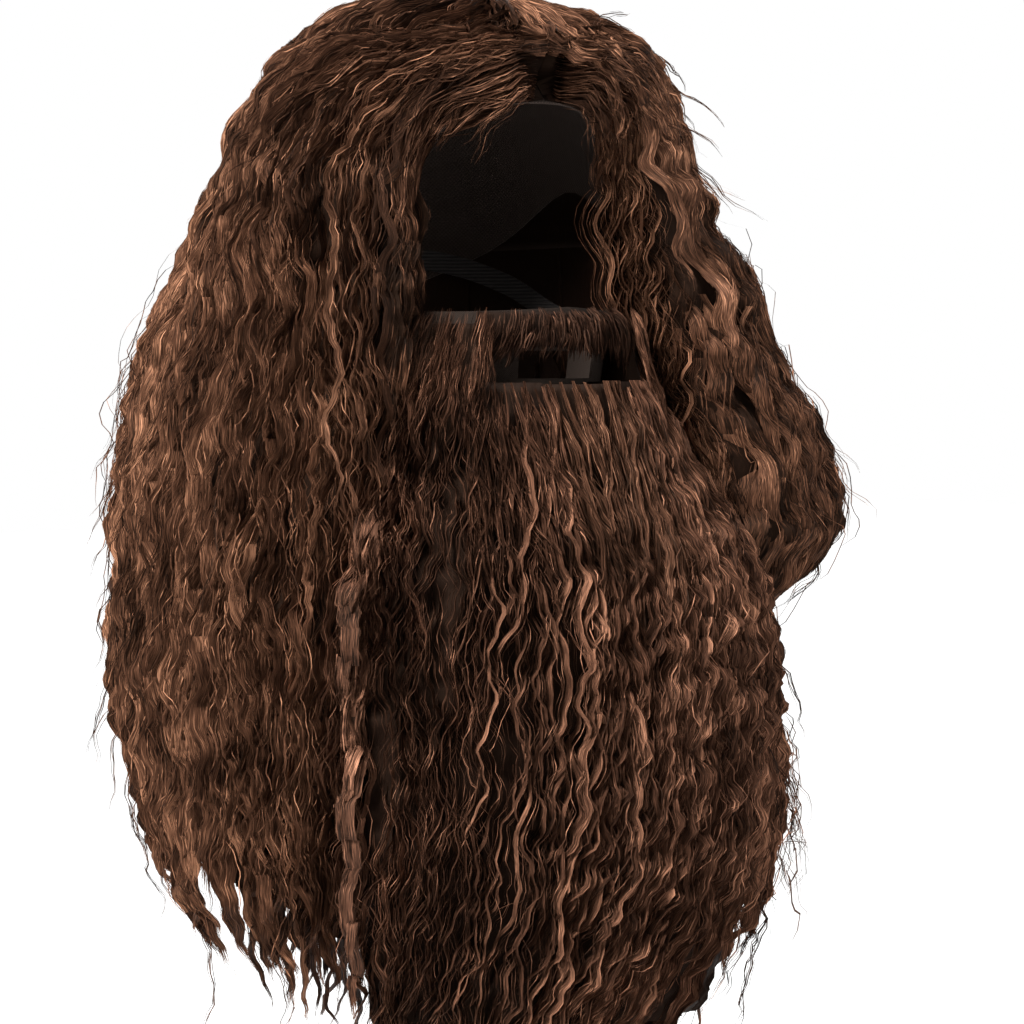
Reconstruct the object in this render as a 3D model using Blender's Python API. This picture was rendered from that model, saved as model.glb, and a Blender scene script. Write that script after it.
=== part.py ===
"""A long wavy wig and the full beard worn with it, in metres.

The origin is the inside of the cap at the crown. +Z is up, the face opening
looks along -Y, and the wearer's left side is +X. A bearing is an angle in
degrees round the upright axis from the front, positive towards +X.
"""

import math

import bmesh
import bpy
from mathutils import Vector

# The head that the cap and the backing fit
HEAD_HALF_WIDTH = 0.078
HEAD_HALF_DEPTH = 0.098
HEAD_HALF_HEIGHT = 0.105  # from the crown down to the widest level
JAW_INSET = 0.004
CHIN_OUTSET = 0.001
JAW_HALF_WIDTH = HEAD_HALF_WIDTH - JAW_INSET
JAW_HALF_DEPTH = HEAD_HALF_DEPTH + CHIN_OUTSET
NECK_ROOM_RADIUS = 0.115

# Edges at least this sharp stay sharp
SHARP_DEGREES = 50

# Walls and gaps
CAP_WALL = 0.0015
BACKING_WALL = 0.0015
SEAT_GAP = 0.0003  # between a piece and what carries it
LOCK_GAP = 0.0006  # between neighbours side by side
TIER_GAP = 0.0016  # between the tips above and the locks below
BEARD_GAP = 0.0016

# The opening for the face and the cap's edge. A drop is a depth below the crown.
FACE_HALF_ANGLE = 55.0
HAIRLINE_DROP = 0.041
TEMPLE_RISE = 0.005
TEMPLE_DROP = HEAD_HALF_HEIGHT - TEMPLE_RISE
OPENING_ROUNDNESS = 2.6
PARTING_SPREAD = 0.012
EAR_RISE = 0.020
NAPE_REACH = 0.045
CAP_EAR_DROP = HEAD_HALF_HEIGHT - EAR_RISE
CAP_NAPE_DROP = HEAD_HALF_HEIGHT + NAPE_REACH

# The hair of the wig
CROWN_RISE = 0.020
SIDE_VOLUME = 0.059
HAIR_VOLUME = 0.100
HAIR_DROP = 0.380
LOCK_RELIEF = 0.009
WAVE_RELIEF = 0.0035
WAVE_PITCH = 0.062
TIP_RAGGEDNESS = 0.16
TIER_RAGGEDNESS = 0.11
PANELS = 6
LOCKS_PER_PANEL = 4
COLUMNS_PER_LOCK = 3
RIDGE_SHARPNESS = 0.8
WIG_WAVE_STEP = 2.4  # turn of the waves from one lock to the next
BEARD_WAVE_STEP = 1.9
TIP_VARIATION = 0.35  # how much the raggedness differs from lock to lock
TIP_STEP = 2.1
RELIEF_AT_CROWN = 0.3  # share of the relief that the hair has near the crown and the tips
RIDGE_AT_CROWN = 0.4

# The backing, from the upper lip to under the chin
LIP_REACH = 0.046  # from the widest level of the head down to the upper lip
BACKING_TOP_DROP = HEAD_HALF_HEIGHT + LIP_REACH
BACKING_HEIGHT = 0.084
BACKING_END_HEIGHT = 0.045
BACKING_HALF_ANGLE = 80.0
BACKING_CHIN_DROP = BACKING_TOP_DROP + BACKING_HEIGHT
BACKING_END_DROP = BACKING_TOP_DROP + BACKING_END_HEIGHT
CHIN_TAPER = 0.86
MOUTH_WIDTH = 0.055
MOUTH_HEIGHT = 0.015
MOUSTACHE_HEIGHT = 0.0235
SLIT_TOP_DROP = BACKING_TOP_DROP + MOUSTACHE_HEIGHT
SLIT_LOW_DROP = SLIT_TOP_DROP + MOUTH_HEIGHT
SLIT_HALF_ANGLE = math.degrees(math.asin(MOUTH_WIDTH / 2 / JAW_HALF_DEPTH))

# The beard and the moustache
CHEEK_STEP = 0.005
CHEEK_TOP_DROP = BACKING_TOP_DROP + CHEEK_STEP
BEARD_DROP = 0.600
BEARD_VOLUME = 0.060
BEARD_RAGGEDNESS = 0.09
BEARD_HANG_RADIUS = 0.112
MOUSTACHE_HALF_ANGLE = 30.0
MOUSTACHE_DROOP = 0.013
MOUSTACHE_VOLUME = 0.014
LIP_TUFT_HALF_ANGLE = 13.3
LIP_TUFT_LENGTH = 0.125
LIP_TUFT_POINT = 0.35  # share of its length by which the sides are shorter

# The elastic strap
STRAP_WIDTH = 0.012
STRAP_THICKNESS = 0.0012
STRAP_LAP_ANGLE = 14.0  # how far it runs inside the backing
STRAP_EDGE_ROOM = 0.001
STRAP_BACK_REACH = 0.015
STRAP_FRONT_ANGLE = BACKING_HALF_ANGLE - STRAP_LAP_ANGLE
STRAP_FRONT_DROP = CHEEK_TOP_DROP + STRAP_WIDTH / 2 + STRAP_EDGE_ROOM
STRAP_BACK_DROP = HEAD_HALF_HEIGHT + STRAP_BACK_REACH

# The hair at each bearing ends at this share of HAIR_DROP
END_BEARINGS = (-180, -150, -128, -118, -108, -95, -75, -55, 55, 65, 80, 100, 128, 150, 180)
END_SHARES = (1.00, 0.96, 1.00, 1.12, 1.22, 1.33, 1.41, 1.47, 0.93, 0.87, 0.85, 0.87, 0.92, 0.97, 1.00)

# Crown: angle down from the top of the cap, share of SIDE_VOLUME outwards, share of CROWN_RISE up
CROWN_ANGLES = (0, 25, 45, 60, 75, 90)
CROWN_OUTWARD = (0.0, 0.34, 0.54, 0.71, 0.83, 1.0)
CROWN_UPWARD = (1.0, 1.0, 0.9, 0.5, 0.15, 0.0)
CROWN_BEARINGS = (-180, -120, -55, 0, 55, 120, 180)
CROWN_FULLNESS = (0.68, 0.84, 0.98, 0.36, 1.06, 1.0, 0.68)

# Long hair: share of its hanging length, how far the inside has left the head for the neck room,
# and, from the second share on, its thickness as a share of HAIR_VOLUME at each bearing
FALL_SHARES = (0.0, 0.12, 0.3, 0.5, 0.7, 0.88, 1.0)
FALL_INSIDE = (0.0, 0.05, 0.2, 0.5, 0.8, 0.95, 1.0)
FALL_BEARINGS = (-180, -120, -55, 55, 120, 180)
FALL_THICKNESS = (
    (0.45, 0.64, 0.59, 0.82, 0.70, 0.45),
    (0.48, 0.81, 0.65, 0.95, 0.80, 0.48),
    (0.48, 0.80, 0.67, 1.12, 0.86, 0.48),
    (0.45, 0.72, 0.60, 1.22, 0.82, 0.45),
    (0.36, 0.66, 0.44, 0.90, 0.62, 0.36),
    (0.12, 0.30, 0.14, 0.22, 0.20, 0.12),
)
EDGE_ROUND_START = 0.76
EDGE_ROUND_LEFT = 0.35
EDGE_ROUNDNESS = 2.5

# Beard: share of its height, how far its inside has left the jaw, thickness as a share of
# BEARD_VOLUME, and where its left edge lies as a share of FACE_HALF_ANGLE
BEARD_SHARES = (0.0, 0.09, 0.19, 0.33, 0.56, 0.67, 0.82, 1.0)
BEARD_INSIDE = (0.0, 0.0, 0.05, 0.7, 1.0, 1.0, 0.95, 0.9)
BEARD_THICKNESS = (0.20, 0.45, 0.80, 1.0, 1.0, 0.97, 0.75, 0.20)
BEARD_LEFT_EDGE = (1.0, 1.0, 1.0, 1.0, 0.98, 0.91, 0.58, 0.18)
BEARD_END_PLACES = (-1.0, -0.5, 0.0, 0.5, 1.0)
BEARD_END_SHARES = (0.96, 1.0, 0.99, 0.94, 0.84)


def smooth(places, values, at):
    """The value at a place on a smooth curve through the given ones."""
    if at <= places[0]:
        return values[0]
    if at >= places[-1]:
        return values[-1]
    last = len(places) - 1
    i = max(k for k in range(last) if places[k] <= at)
    step = places[i + 1] - places[i]

    def slope(k):
        low = max(k - 1, 0)
        high = min(k + 1, last)
        return (values[high] - values[low]) / (places[high] - places[low])

    s = (at - places[i]) / step
    rise = values[i + 1] - values[i]
    easing = s * s * (3 - 2 * s)
    bend = slope(i) * step * s * (1 - s) ** 2 - slope(i + 1) * step * s * s * (1 - s)
    return values[i] + rise * easing + bend


def ease(low, high, at):
    """Rises smoothly from 0 at low to 1 at high."""
    share = min(max((at - low) / (high - low), 0), 1)
    return share * share * (3 - 2 * share)


def spot(radius, bearing, height):
    angle = math.radians(bearing)
    return Vector((radius * math.sin(angle), -radius * math.cos(angle), height))


def ring_radius(half_width, half_depth, bearing):
    angle = math.radians(bearing)
    return 1 / math.hypot(math.sin(angle) / half_width, math.cos(angle) / half_depth)


def cap_spot(outset, bearing, polar):
    """A point on the head's dome, moved out by outset."""
    polar = math.radians(polar)
    radius = ring_radius(HEAD_HALF_WIDTH + outset, HEAD_HALF_DEPTH + outset, bearing)
    height = -HEAD_HALF_HEIGHT + (HEAD_HALF_HEIGHT + outset) * math.cos(polar)
    return spot(radius * math.sin(polar), bearing, height)


def polar_at_drop(drop):
    return math.degrees(math.acos(1 - drop / HEAD_HALF_HEIGHT))


def opening_half_angle(drop):
    """Half of the face opening, which is a rounded arch from the hairline to the temples."""
    if drop <= HAIRLINE_DROP:
        return 0.0
    if drop >= TEMPLE_DROP:
        return FACE_HALF_ANGLE
    share = (TEMPLE_DROP - drop) / (TEMPLE_DROP - HAIRLINE_DROP)
    return FACE_HALF_ANGLE * (1 - share**OPENING_ROUNDNESS) ** (1 / OPENING_ROUNDNESS)


def cap_edge_drop(bearing):
    """Depth of the cap's lower edge below the crown."""
    away = abs(bearing)
    if away <= FACE_HALF_ANGLE:
        share = (1 - (away / FACE_HALF_ANGLE) ** OPENING_ROUNDNESS) ** (1 / OPENING_ROUNDNESS)
        return TEMPLE_DROP - (TEMPLE_DROP - HAIRLINE_DROP) * share
    return smooth(
        (FACE_HALF_ANGLE, 90, 130, 180),
        (TEMPLE_DROP, CAP_EAR_DROP, (CAP_EAR_DROP + CAP_NAPE_DROP) / 2, CAP_NAPE_DROP),
        away,
    )


def jaw_radius(outset, bearing, drop):
    """Radius of the jaw at a depth below the crown, narrowing to the chin."""
    low = min(max((drop - BACKING_TOP_DROP) / (BACKING_CHIN_DROP - BACKING_TOP_DROP), 0), 1)
    taper = 1 - (1 - CHIN_TAPER) * low
    return ring_radius(JAW_HALF_WIDTH * taper + outset, JAW_HALF_DEPTH * taper + outset, bearing)


def material(name, colour, roughness):
    made = bpy.data.materials.new(name)
    made.use_nodes = True
    shader = made.node_tree.nodes["Principled BSDF"]
    shader.inputs["Base Color"].default_value = (*colour, 1)
    shader.inputs["Roughness"].default_value = roughness
    made.diffuse_color = (*colour, 1)
    return made


def add_object(name, points, faces, colour, roughness):
    """Joins points that coincide, turns the faces outwards and links the object."""
    mesh = bpy.data.meshes.new(name)
    shape = bmesh.new()
    corners = [shape.verts.new(point) for point in points]
    for face in faces:
        shape.faces.new([corners[i] for i in face])
    bmesh.ops.remove_doubles(shape, verts=shape.verts, dist=1e-6)
    bmesh.ops.recalc_face_normals(shape, faces=shape.faces)
    bmesh.ops.triangulate(shape, faces=shape.faces, quad_method="SHORT_EDGE")
    shape.to_mesh(mesh)
    shape.free()
    mesh.shade_smooth()
    mesh.set_sharp_from_angle(angle=math.radians(SHARP_DEGREES))
    made = bpy.data.objects.new(name, mesh)
    made.data.materials.append(material(name, colour, roughness))
    bpy.context.scene.collection.objects.link(made)
    return made


class Skin:
    """Collects the points and faces of one closed solid."""

    def __init__(self):
        self.points = []
        self.faces = []
        self.index = {}

    def point(self, place):
        key = tuple(round(part, 7) for part in place)
        if key not in self.index:
            self.index[key] = len(self.points)
            self.points.append(place)
        return self.index[key]

    def face(self, corners):
        kept = []
        for corner in corners:
            if corner not in kept:
                kept.append(corner)
        if len(kept) > 2:
            self.faces.append(kept)

    def grid(self, rows):
        for upper, lower in zip(rows, rows[1:]):
            for i in range(len(upper) - 1):
                self.face([upper[i], upper[i + 1], lower[i + 1], lower[i]])

    def zip(self, first, second):
        """Fills between two lines of (share along, point) that start and end side by side."""
        i = 0
        j = 0
        while i < len(first) - 1 or j < len(second) - 1:
            ahead = i < len(first) - 1 and (
                j == len(second) - 1
                or abs(first[i + 1][0] - first[0][0]) <= abs(second[j + 1][0] - second[0][0])
            )
            if ahead:
                self.face([first[i][1], first[i + 1][1], second[j][1]])
                i += 1
            else:
                self.face([first[i][1], second[j + 1][1], second[j][1]])
                j += 1


def hair_solid(name, place, columns, rows, colour, roughness, row_step=2):
    """A closed block of hair.

    place(column, row, depth) gives a point, with row from 0 to 1 along the hair and depth 0 at
    the inside and 1 at the outside. The inside keeps every second column, and a row in row_step.
    """
    skin = Skin()

    def line(shares, step):
        kept = list(shares[::step])
        if kept[-1] != shares[-1]:
            kept.append(shares[-1])
        return kept

    inner_columns = line(columns, 2)
    inner_rows = line(rows, row_step)
    outer = [[skin.point(place(c, r, 1)) for c in columns] for r in rows]
    inner = [[skin.point(place(c, r, 0)) for c in inner_columns] for r in inner_rows]
    skin.grid(outer)
    skin.grid([row[::-1] for row in inner])
    for edge in (0, -1):
        skin.zip(list(zip(columns, outer[edge])), list(zip(inner_columns, inner[edge])))
        skin.zip(
            list(zip(rows, [row[edge] for row in outer])),
            list(zip(inner_rows, [row[edge] for row in inner])),
        )
    return add_object(name, skin.points, skin.faces, colour, roughness)


def shell_solid(name, outer, inner, cells, colour, roughness):
    """A wall of even thickness from two grids of points and the cells that it covers."""
    skin = Skin()
    sides = {}

    def corner(grid, cell):
        return skin.point(grid[cell])

    for column, row in cells:
        ring = ((column, row), (column + 1, row), (column + 1, row + 1), (column, row + 1))
        skin.face([corner(outer, place) for place in ring])
        skin.face([corner(inner, place) for place in reversed(ring)])
        for a, b in zip(ring, ring[1:] + ring[:1]):
            ends = (corner(outer, a), corner(outer, b), corner(inner, b), corner(inner, a))
            pair = frozenset(ends[:2])
            if pair in sides:
                del sides[pair]
            elif len(pair) == 2:
                sides[pair] = ends
    for ends in sides.values():
        skin.face(list(ends))
    return add_object(name, skin.points, skin.faces, colour, roughness)


# The wig's cap

CAP_COLUMNS = 44
CAP_ROWS = 9


def cap_grid(outset):
    grid = {}
    for column in range(CAP_COLUMNS + 1):
        bearing = 360 * (column % CAP_COLUMNS) / CAP_COLUMNS - 180
        edge = polar_at_drop(cap_edge_drop(bearing))
        for row in range(CAP_ROWS + 1):
            grid[column, row] = cap_spot(outset, bearing, edge * row / CAP_ROWS)
    return grid


def make_cap():
    cells = [(column, row) for column in range(CAP_COLUMNS) for row in range(CAP_ROWS)]
    return shell_solid("wig_cap", cap_grid(CAP_WALL), cap_grid(0), cells, (0.02, 0.013, 0.01), 0.85)


# The wig's hair. A column runs from -1 to 1 round the head from the front over the right side, the
# back and the left side. A fall runs from 0 to 1 over the crown and from 1 to 2 down to the tips.

LOCK_COUNT = PANELS * LOCKS_PER_PANEL
CROWN_FALLS = (0.0, 0.14, 0.28, 0.4, 0.5, 0.588, 0.594, 0.604, 0.62, 0.65, 0.69, 0.76, 0.83, 0.91)
HANG_ROWS = 14
# The inside's facets would cut into the cap, so it stands off by this much
FACET_HALF_WIDTH = math.radians(360 / (LOCK_COUNT * COLUMNS_PER_LOCK))
FACET_HALF_HEIGHT = math.radians(8)
INSIDE_ROOM = 1 / (math.cos(FACET_HALF_WIDTH) * math.cos(FACET_HALF_HEIGHT))


def lock_phase(column):
    """How far across its lock a column lies, and a number that differs from lock to lock."""
    across = (column + 1) / 2 * LOCK_COUNT
    number = math.floor(across + 1e-6)
    return across - number, number


def lock_ridge(column):
    across, _ = lock_phase(column)
    return max(math.sin(math.pi * across), 0.0) ** RIDGE_SHARPNESS


def edge_fullness(column, half_angle):
    """The hair thins to a rounded roll where it frames the face."""
    over = max(abs(column) - EDGE_ROUND_START, 0) / (1 - EDGE_ROUND_START)
    roll = EDGE_ROUND_LEFT + (1 - EDGE_ROUND_LEFT) * math.sqrt(max(1 - over**EDGE_ROUNDNESS, 0))
    return 1 - (1 - roll) * half_angle / FACE_HALF_ANGLE


def relief(column, drop, share):
    """Locks stand out between their valleys and wave in and out along their length."""
    _, number = lock_phase(column)
    wave = math.sin(2 * math.pi * drop / WAVE_PITCH + WIG_WAVE_STEP * number)
    ridge = LOCK_RELIEF * (RIDGE_AT_CROWN + (1 - RIDGE_AT_CROWN) * share)
    return lock_ridge(column) * (ridge + WAVE_RELIEF * share * wave)


def hanging_end(bearing):
    return HAIR_DROP * smooth(END_BEARINGS, END_SHARES, bearing)


def wig_spot(column, fall, depth):
    crown_share = min(fall, 1)
    polar = 90 * crown_share
    head_height = HEAD_HALF_HEIGHT + CAP_WALL + SEAT_GAP
    drop = head_height * (1 - math.cos(math.radians(polar))) - (CAP_WALL + SEAT_GAP)
    half_angle = opening_half_angle(drop + depth * PARTING_SPREAD)
    sweep = column * (180 - half_angle)
    bearing = math.copysign(180 - abs(sweep), sweep)
    inside = cap_spot(CAP_WALL + SEAT_GAP, bearing, polar)
    inside = Vector((inside.x * INSIDE_ROOM, inside.y * INSIDE_ROOM, inside.z))
    inside.z += (INSIDE_ROOM - 1) * HEAD_HALF_HEIGHT * math.cos(math.radians(polar))
    radius = math.hypot(inside.x, inside.y)
    height = inside.z
    fullness = edge_fullness(column, half_angle)
    if fall <= 1:
        outward = smooth(CROWN_ANGLES, CROWN_OUTWARD, polar)
        outward *= SIDE_VOLUME * smooth(CROWN_BEARINGS, CROWN_FULLNESS, bearing) * fullness
        upward = CROWN_RISE * smooth(CROWN_ANGLES, CROWN_UPWARD, polar)
        outward += relief(column, drop, RELIEF_AT_CROWN) * math.sin(math.radians(polar)) ** 2
        return spot(radius + depth * outward, bearing, height + depth * upward)
    share = fall - 1
    hang = hanging_end(bearing) - HEAD_HALF_HEIGHT
    drop = HEAD_HALF_HEIGHT + hang * share
    leaving = smooth(FALL_SHARES, FALL_INSIDE, share)
    radius += (NECK_ROOM_RADIUS - radius) * leaving
    start = SIDE_VOLUME * smooth(CROWN_BEARINGS, CROWN_FULLNESS, bearing)
    below = [HAIR_VOLUME * smooth(FALL_BEARINGS, row, bearing) for row in FALL_THICKNESS]
    outward = smooth(FALL_SHARES, [start] + below, share) * fullness
    swell = math.sin(math.pi * min(share, 0.9))
    outward += relief(column, drop, RELIEF_AT_CROWN + (1 - RELIEF_AT_CROWN) * swell)
    return spot(radius + depth * outward, bearing, -drop)


def aside(point, step):
    """Moves a point sideways round the upright axis, towards smaller bearings."""
    tangent = Vector((point.y, -point.x, 0)).normalized()
    return point + tangent * step


def tier_fall(column):
    """Where the crown's hair ends and the hanging locks start, lower at each lock's middle."""
    return 1 + TIER_RAGGEDNESS * lock_ridge(column)


def column_shares(first, last, count):
    return [first + (last - first) * i / count for i in range(count + 1)]


def make_crown(side):
    """Half of the crown, split at the parting, down to the tips of its shorter hair."""
    name = "crown_hair_left" if side > 0 else "crown_hair_right"
    columns = column_shares(0, side, LOCK_COUNT * COLUMNS_PER_LOCK // 2)
    rows = [i / len(CROWN_FALLS) for i in range(len(CROWN_FALLS) + 1)]

    def place(column, row, depth):
        falls = CROWN_FALLS + (tier_fall(column) if depth else 1.0,)
        fall = falls[round(row * len(CROWN_FALLS))]
        point = wig_spot(column, fall, depth)
        point.x = side * max(abs(point.x), LOCK_GAP / 2)
        return point

    return hair_solid(name, place, columns, rows, (0.062, 0.031, 0.018), 0.5, row_step=1)


def make_hanging(name, first, last):
    columns = column_shares(first, last, LOCKS_PER_PANEL * COLUMNS_PER_LOCK)
    rows = column_shares(0, 1, HANG_ROWS)

    def place(column, row, depth):
        start = (tier_fall(column) if depth else 1.0) + TIER_GAP / (HAIR_DROP - HEAD_HALF_HEIGHT)
        _, number = lock_phase(column)
        ragged = TIP_RAGGEDNESS * (1 + TIP_VARIATION * math.sin(TIP_STEP * number))
        end = 2 - ragged * (1 - (lock_ridge(column) if depth else 0.5))
        fall = start + (end - start) * row
        inwards = (column == first) - (column == last)
        step = inwards * math.copysign(LOCK_GAP / 2, last - first)
        return aside(wig_spot(column, fall, depth), step)

    return hair_solid(name, place, columns, rows, (0.075, 0.037, 0.021), 0.5)


def make_wig_hair():
    third = 1 / 3
    for side, word in ((-1, "right"), (1, "left")):
        make_crown(side)
        make_hanging(f"back_locks_{word}", 0, side * third)
        make_hanging(f"side_locks_{word}", side * third, side * 2 * third)
        make_hanging(f"front_locks_{word}", side * 2 * third, side)


# The beard's backing

BACKING_COLUMNS = 36
BACKING_ROWS = 8


def make_backing():
    step = 2 * BACKING_HALF_ANGLE / BACKING_COLUMNS
    slit_steps = round(SLIT_HALF_ANGLE / step)
    middle = BACKING_COLUMNS // 2

    def bearing_of(column):
        away = abs(column - middle)
        if away <= slit_steps:
            angle = SLIT_HALF_ANGLE * away / slit_steps
        else:
            rest = (away - slit_steps) / (middle - slit_steps)
            angle = SLIT_HALF_ANGLE + (BACKING_HALF_ANGLE - SLIT_HALF_ANGLE) * rest
        return math.copysign(angle, column - middle)

    def drops_of(bearing):
        away = abs(bearing) / BACKING_HALF_ANGLE
        top = BACKING_TOP_DROP + CHEEK_STEP / 2 * math.sin(math.pi * away)
        low = BACKING_CHIN_DROP - (BACKING_CHIN_DROP - BACKING_END_DROP) * away**2
        upper = column_shares(top, SLIT_TOP_DROP, 2)
        lower = column_shares(SLIT_LOW_DROP, low, BACKING_ROWS - 3)
        return upper + lower

    outer = {}
    inner = {}
    for column in range(BACKING_COLUMNS + 1):
        bearing = bearing_of(column)
        for row, drop in enumerate(drops_of(bearing)):
            outer[column, row] = spot(jaw_radius(BACKING_WALL, bearing, drop), bearing, -drop)
            inner[column, row] = spot(jaw_radius(0, bearing, drop), bearing, -drop)
    cells = [
        (column, row)
        for column in range(BACKING_COLUMNS)
        for row in range(BACKING_ROWS)
        if not (row == 2 and middle - slit_steps <= column < middle + slit_steps)
    ]
    return shell_solid("beard_backing", outer, inner, cells, (0.03, 0.018, 0.012), 0.85)


# The beard's hair. A column runs from -1 to 1 over the face from the right to the left.

CENTRE_LOCKS = 2
NEAR_LOCKS = 2
FAR_LOCKS = 3
CORNER_ROOM = 0.6
BEARD_ROWS = 18
TUFT_ROWS = 7
BEARD_SEAT = BACKING_WALL + SEAT_GAP
BEARD_FACET_ROOM = 1 / math.cos(math.radians(5))
LEFT_LOCK_NUMBER = 20
RELIEF_RAMP = 2.5


def beard_lock(column):
    """A lock's ridge, 0 in the valleys and 1 at its middle, and a number that tells locks apart."""
    angle = abs(column) * FACE_HALF_ANGLE
    corner = MOUSTACHE_HALF_ANGLE + CORNER_ROOM
    if angle <= LIP_TUFT_HALF_ANGLE:
        across = CENTRE_LOCKS / 2 * angle / LIP_TUFT_HALF_ANGLE
    elif angle <= corner:
        across = 1 + NEAR_LOCKS * (angle - LIP_TUFT_HALF_ANGLE) / (corner - LIP_TUFT_HALF_ANGLE)
    else:
        across = 1 + NEAR_LOCKS + FAR_LOCKS * (angle - corner) / (FACE_HALF_ANGLE - corner)
    number = math.floor(across + 1e-6)
    ridge = max(math.sin(math.pi * (across - number)), 0.0) ** RIDGE_SHARPNESS
    return ridge, number + (LEFT_LOCK_NUMBER if column > 0 else 0)


def beard_relief(column, drop, share):
    ridge, number = beard_lock(column)
    wave = math.sin(2 * math.pi * drop / WAVE_PITCH + BEARD_WAVE_STEP * number)
    return share * ridge * (LOCK_RELIEF + WAVE_RELIEF * wave)


def beard_spot(column, drop, depth):
    share = (drop - BACKING_TOP_DROP) / (BEARD_DROP - BACKING_TOP_DROP)
    left_edge = FACE_HALF_ANGLE * smooth(BEARD_SHARES, BEARD_LEFT_EDGE, share)
    across = (column + 1) / 2
    bearing = -FACE_HALF_ANGLE + (left_edge + FACE_HALF_ANGLE) * across
    inside = jaw_radius(BEARD_SEAT, bearing, drop) * BEARD_FACET_ROOM
    inside += (BEARD_HANG_RADIUS - inside) * smooth(BEARD_SHARES, BEARD_INSIDE, share)
    outward = BEARD_VOLUME * smooth(BEARD_SHARES, BEARD_THICKNESS, share)
    outward += beard_relief(column, drop, min(RELIEF_RAMP * share, 1))
    return spot(inside + depth * outward, bearing, -drop)


def beard_end(column):
    ridge, number = beard_lock(column)
    ragged = BEARD_RAGGEDNESS * (1 + TIP_VARIATION * math.sin(TIP_STEP * number)) * (1 - ridge)
    return BEARD_DROP * (smooth(BEARD_END_PLACES, BEARD_END_SHARES, column) - ragged)


def tuft_end(column):
    """The tuft under the lip narrows to a point over the middle of the beard."""
    away = min(abs(column) / (LIP_TUFT_HALF_ANGLE / FACE_HALF_ANGLE), 1)
    return SLIT_LOW_DROP + LIP_TUFT_LENGTH * (1 - LIP_TUFT_POINT * away**2)


def make_beard_piece(name, columns, row_count, start, end, colour, roughness):
    rows = column_shares(0, 1, row_count)

    def place(column, row, depth):
        low = end(column)
        drop = start(column) + (low - start(column)) * row
        outwards = (column == max(columns)) - (column == min(columns))
        return aside(beard_spot(column, drop, depth), outwards * BEARD_GAP / 2)

    return hair_solid(name, place, columns, rows, colour, roughness, row_step=1)


def make_beard_hair():
    colour = (0.068, 0.034, 0.020)
    tuft = LIP_TUFT_HALF_ANGLE / FACE_HALF_ANGLE
    corner = (MOUSTACHE_HALF_ANGLE + CORNER_ROOM) / FACE_HALF_ANGLE
    under_lip = SLIT_LOW_DROP + 2 * LOCK_GAP
    centre = column_shares(-tuft, tuft, CENTRE_LOCKS * COLUMNS_PER_LOCK)

    def lip(column):
        return under_lip

    def below_tuft(column):
        return tuft_end(column) + TIER_GAP

    make_beard_piece("lip_tuft", centre, TUFT_ROWS, lip, tuft_end, (0.085, 0.045, 0.028), 0.45)
    make_beard_piece("beard_centre", centre, BEARD_ROWS, below_tuft, beard_end, colour, 0.5)
    for side, word in ((-1, "right"), (1, "left")):
        near = column_shares(side * tuft, side * corner, NEAR_LOCKS * COLUMNS_PER_LOCK)
        far = column_shares(side * corner, side, FAR_LOCKS * COLUMNS_PER_LOCK)

        def start(column):
            return under_lip if abs(column) <= corner else CHEEK_TOP_DROP

        make_beard_piece(f"beard_{word}", near + far[1:], BEARD_ROWS, start, beard_end, colour, 0.5)


MOUSTACHE_COLUMNS = 24
MOUSTACHE_ROWS = 5
MOUSTACHE_TUFTS = 5
# Shares of MOUSTACHE_VOLUME at the top, gained towards the tips, and of each tuft
MOUSTACHE_ROOT = 0.3
MOUSTACHE_GAIN = 0.6
MOUSTACHE_TUFT = 0.12


def make_moustache():
    columns = column_shares(-1, 1, MOUSTACHE_COLUMNS)
    rows = column_shares(0, 1, MOUSTACHE_ROWS)
    over_slit = SLIT_HALF_ANGLE / MOUSTACHE_HALF_ANGLE

    def place(column, row, depth):
        bearing = MOUSTACHE_HALF_ANGLE * column
        past = max((abs(column) - over_slit) / (1 - over_slit), 0)
        low = SLIT_TOP_DROP - SEAT_GAP + MOUSTACHE_DROOP * past
        drop = BACKING_TOP_DROP + (low - BACKING_TOP_DROP) * row
        inside = jaw_radius(BEARD_SEAT, bearing, drop) * BEARD_FACET_ROOM
        tuft = abs(math.cos(MOUSTACHE_TUFTS / 2 * math.pi * column))
        gain = MOUSTACHE_GAIN * math.sin(math.pi / 2 * row) + MOUSTACHE_TUFT * tuft * row
        outward = MOUSTACHE_VOLUME * (MOUSTACHE_ROOT + gain)
        return spot(inside + depth * outward, bearing, -drop)

    return hair_solid("moustache", place, columns, rows, (0.035, 0.018, 0.012), 0.55)


# The elastic strap

STRAP_STEPS = 56
STRAP_ON_HEAD_ANGLE = 115.0
STRAP_BEARINGS = (STRAP_FRONT_ANGLE, 90, 120, 150, 180)
STRAP_CLIMB = (0.0, 0.18, 0.6, 0.92, 1.0)
CAP_FACET_ROOM = math.cos(math.pi / CAP_COLUMNS) * math.cos(math.radians(6.5))


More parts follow.
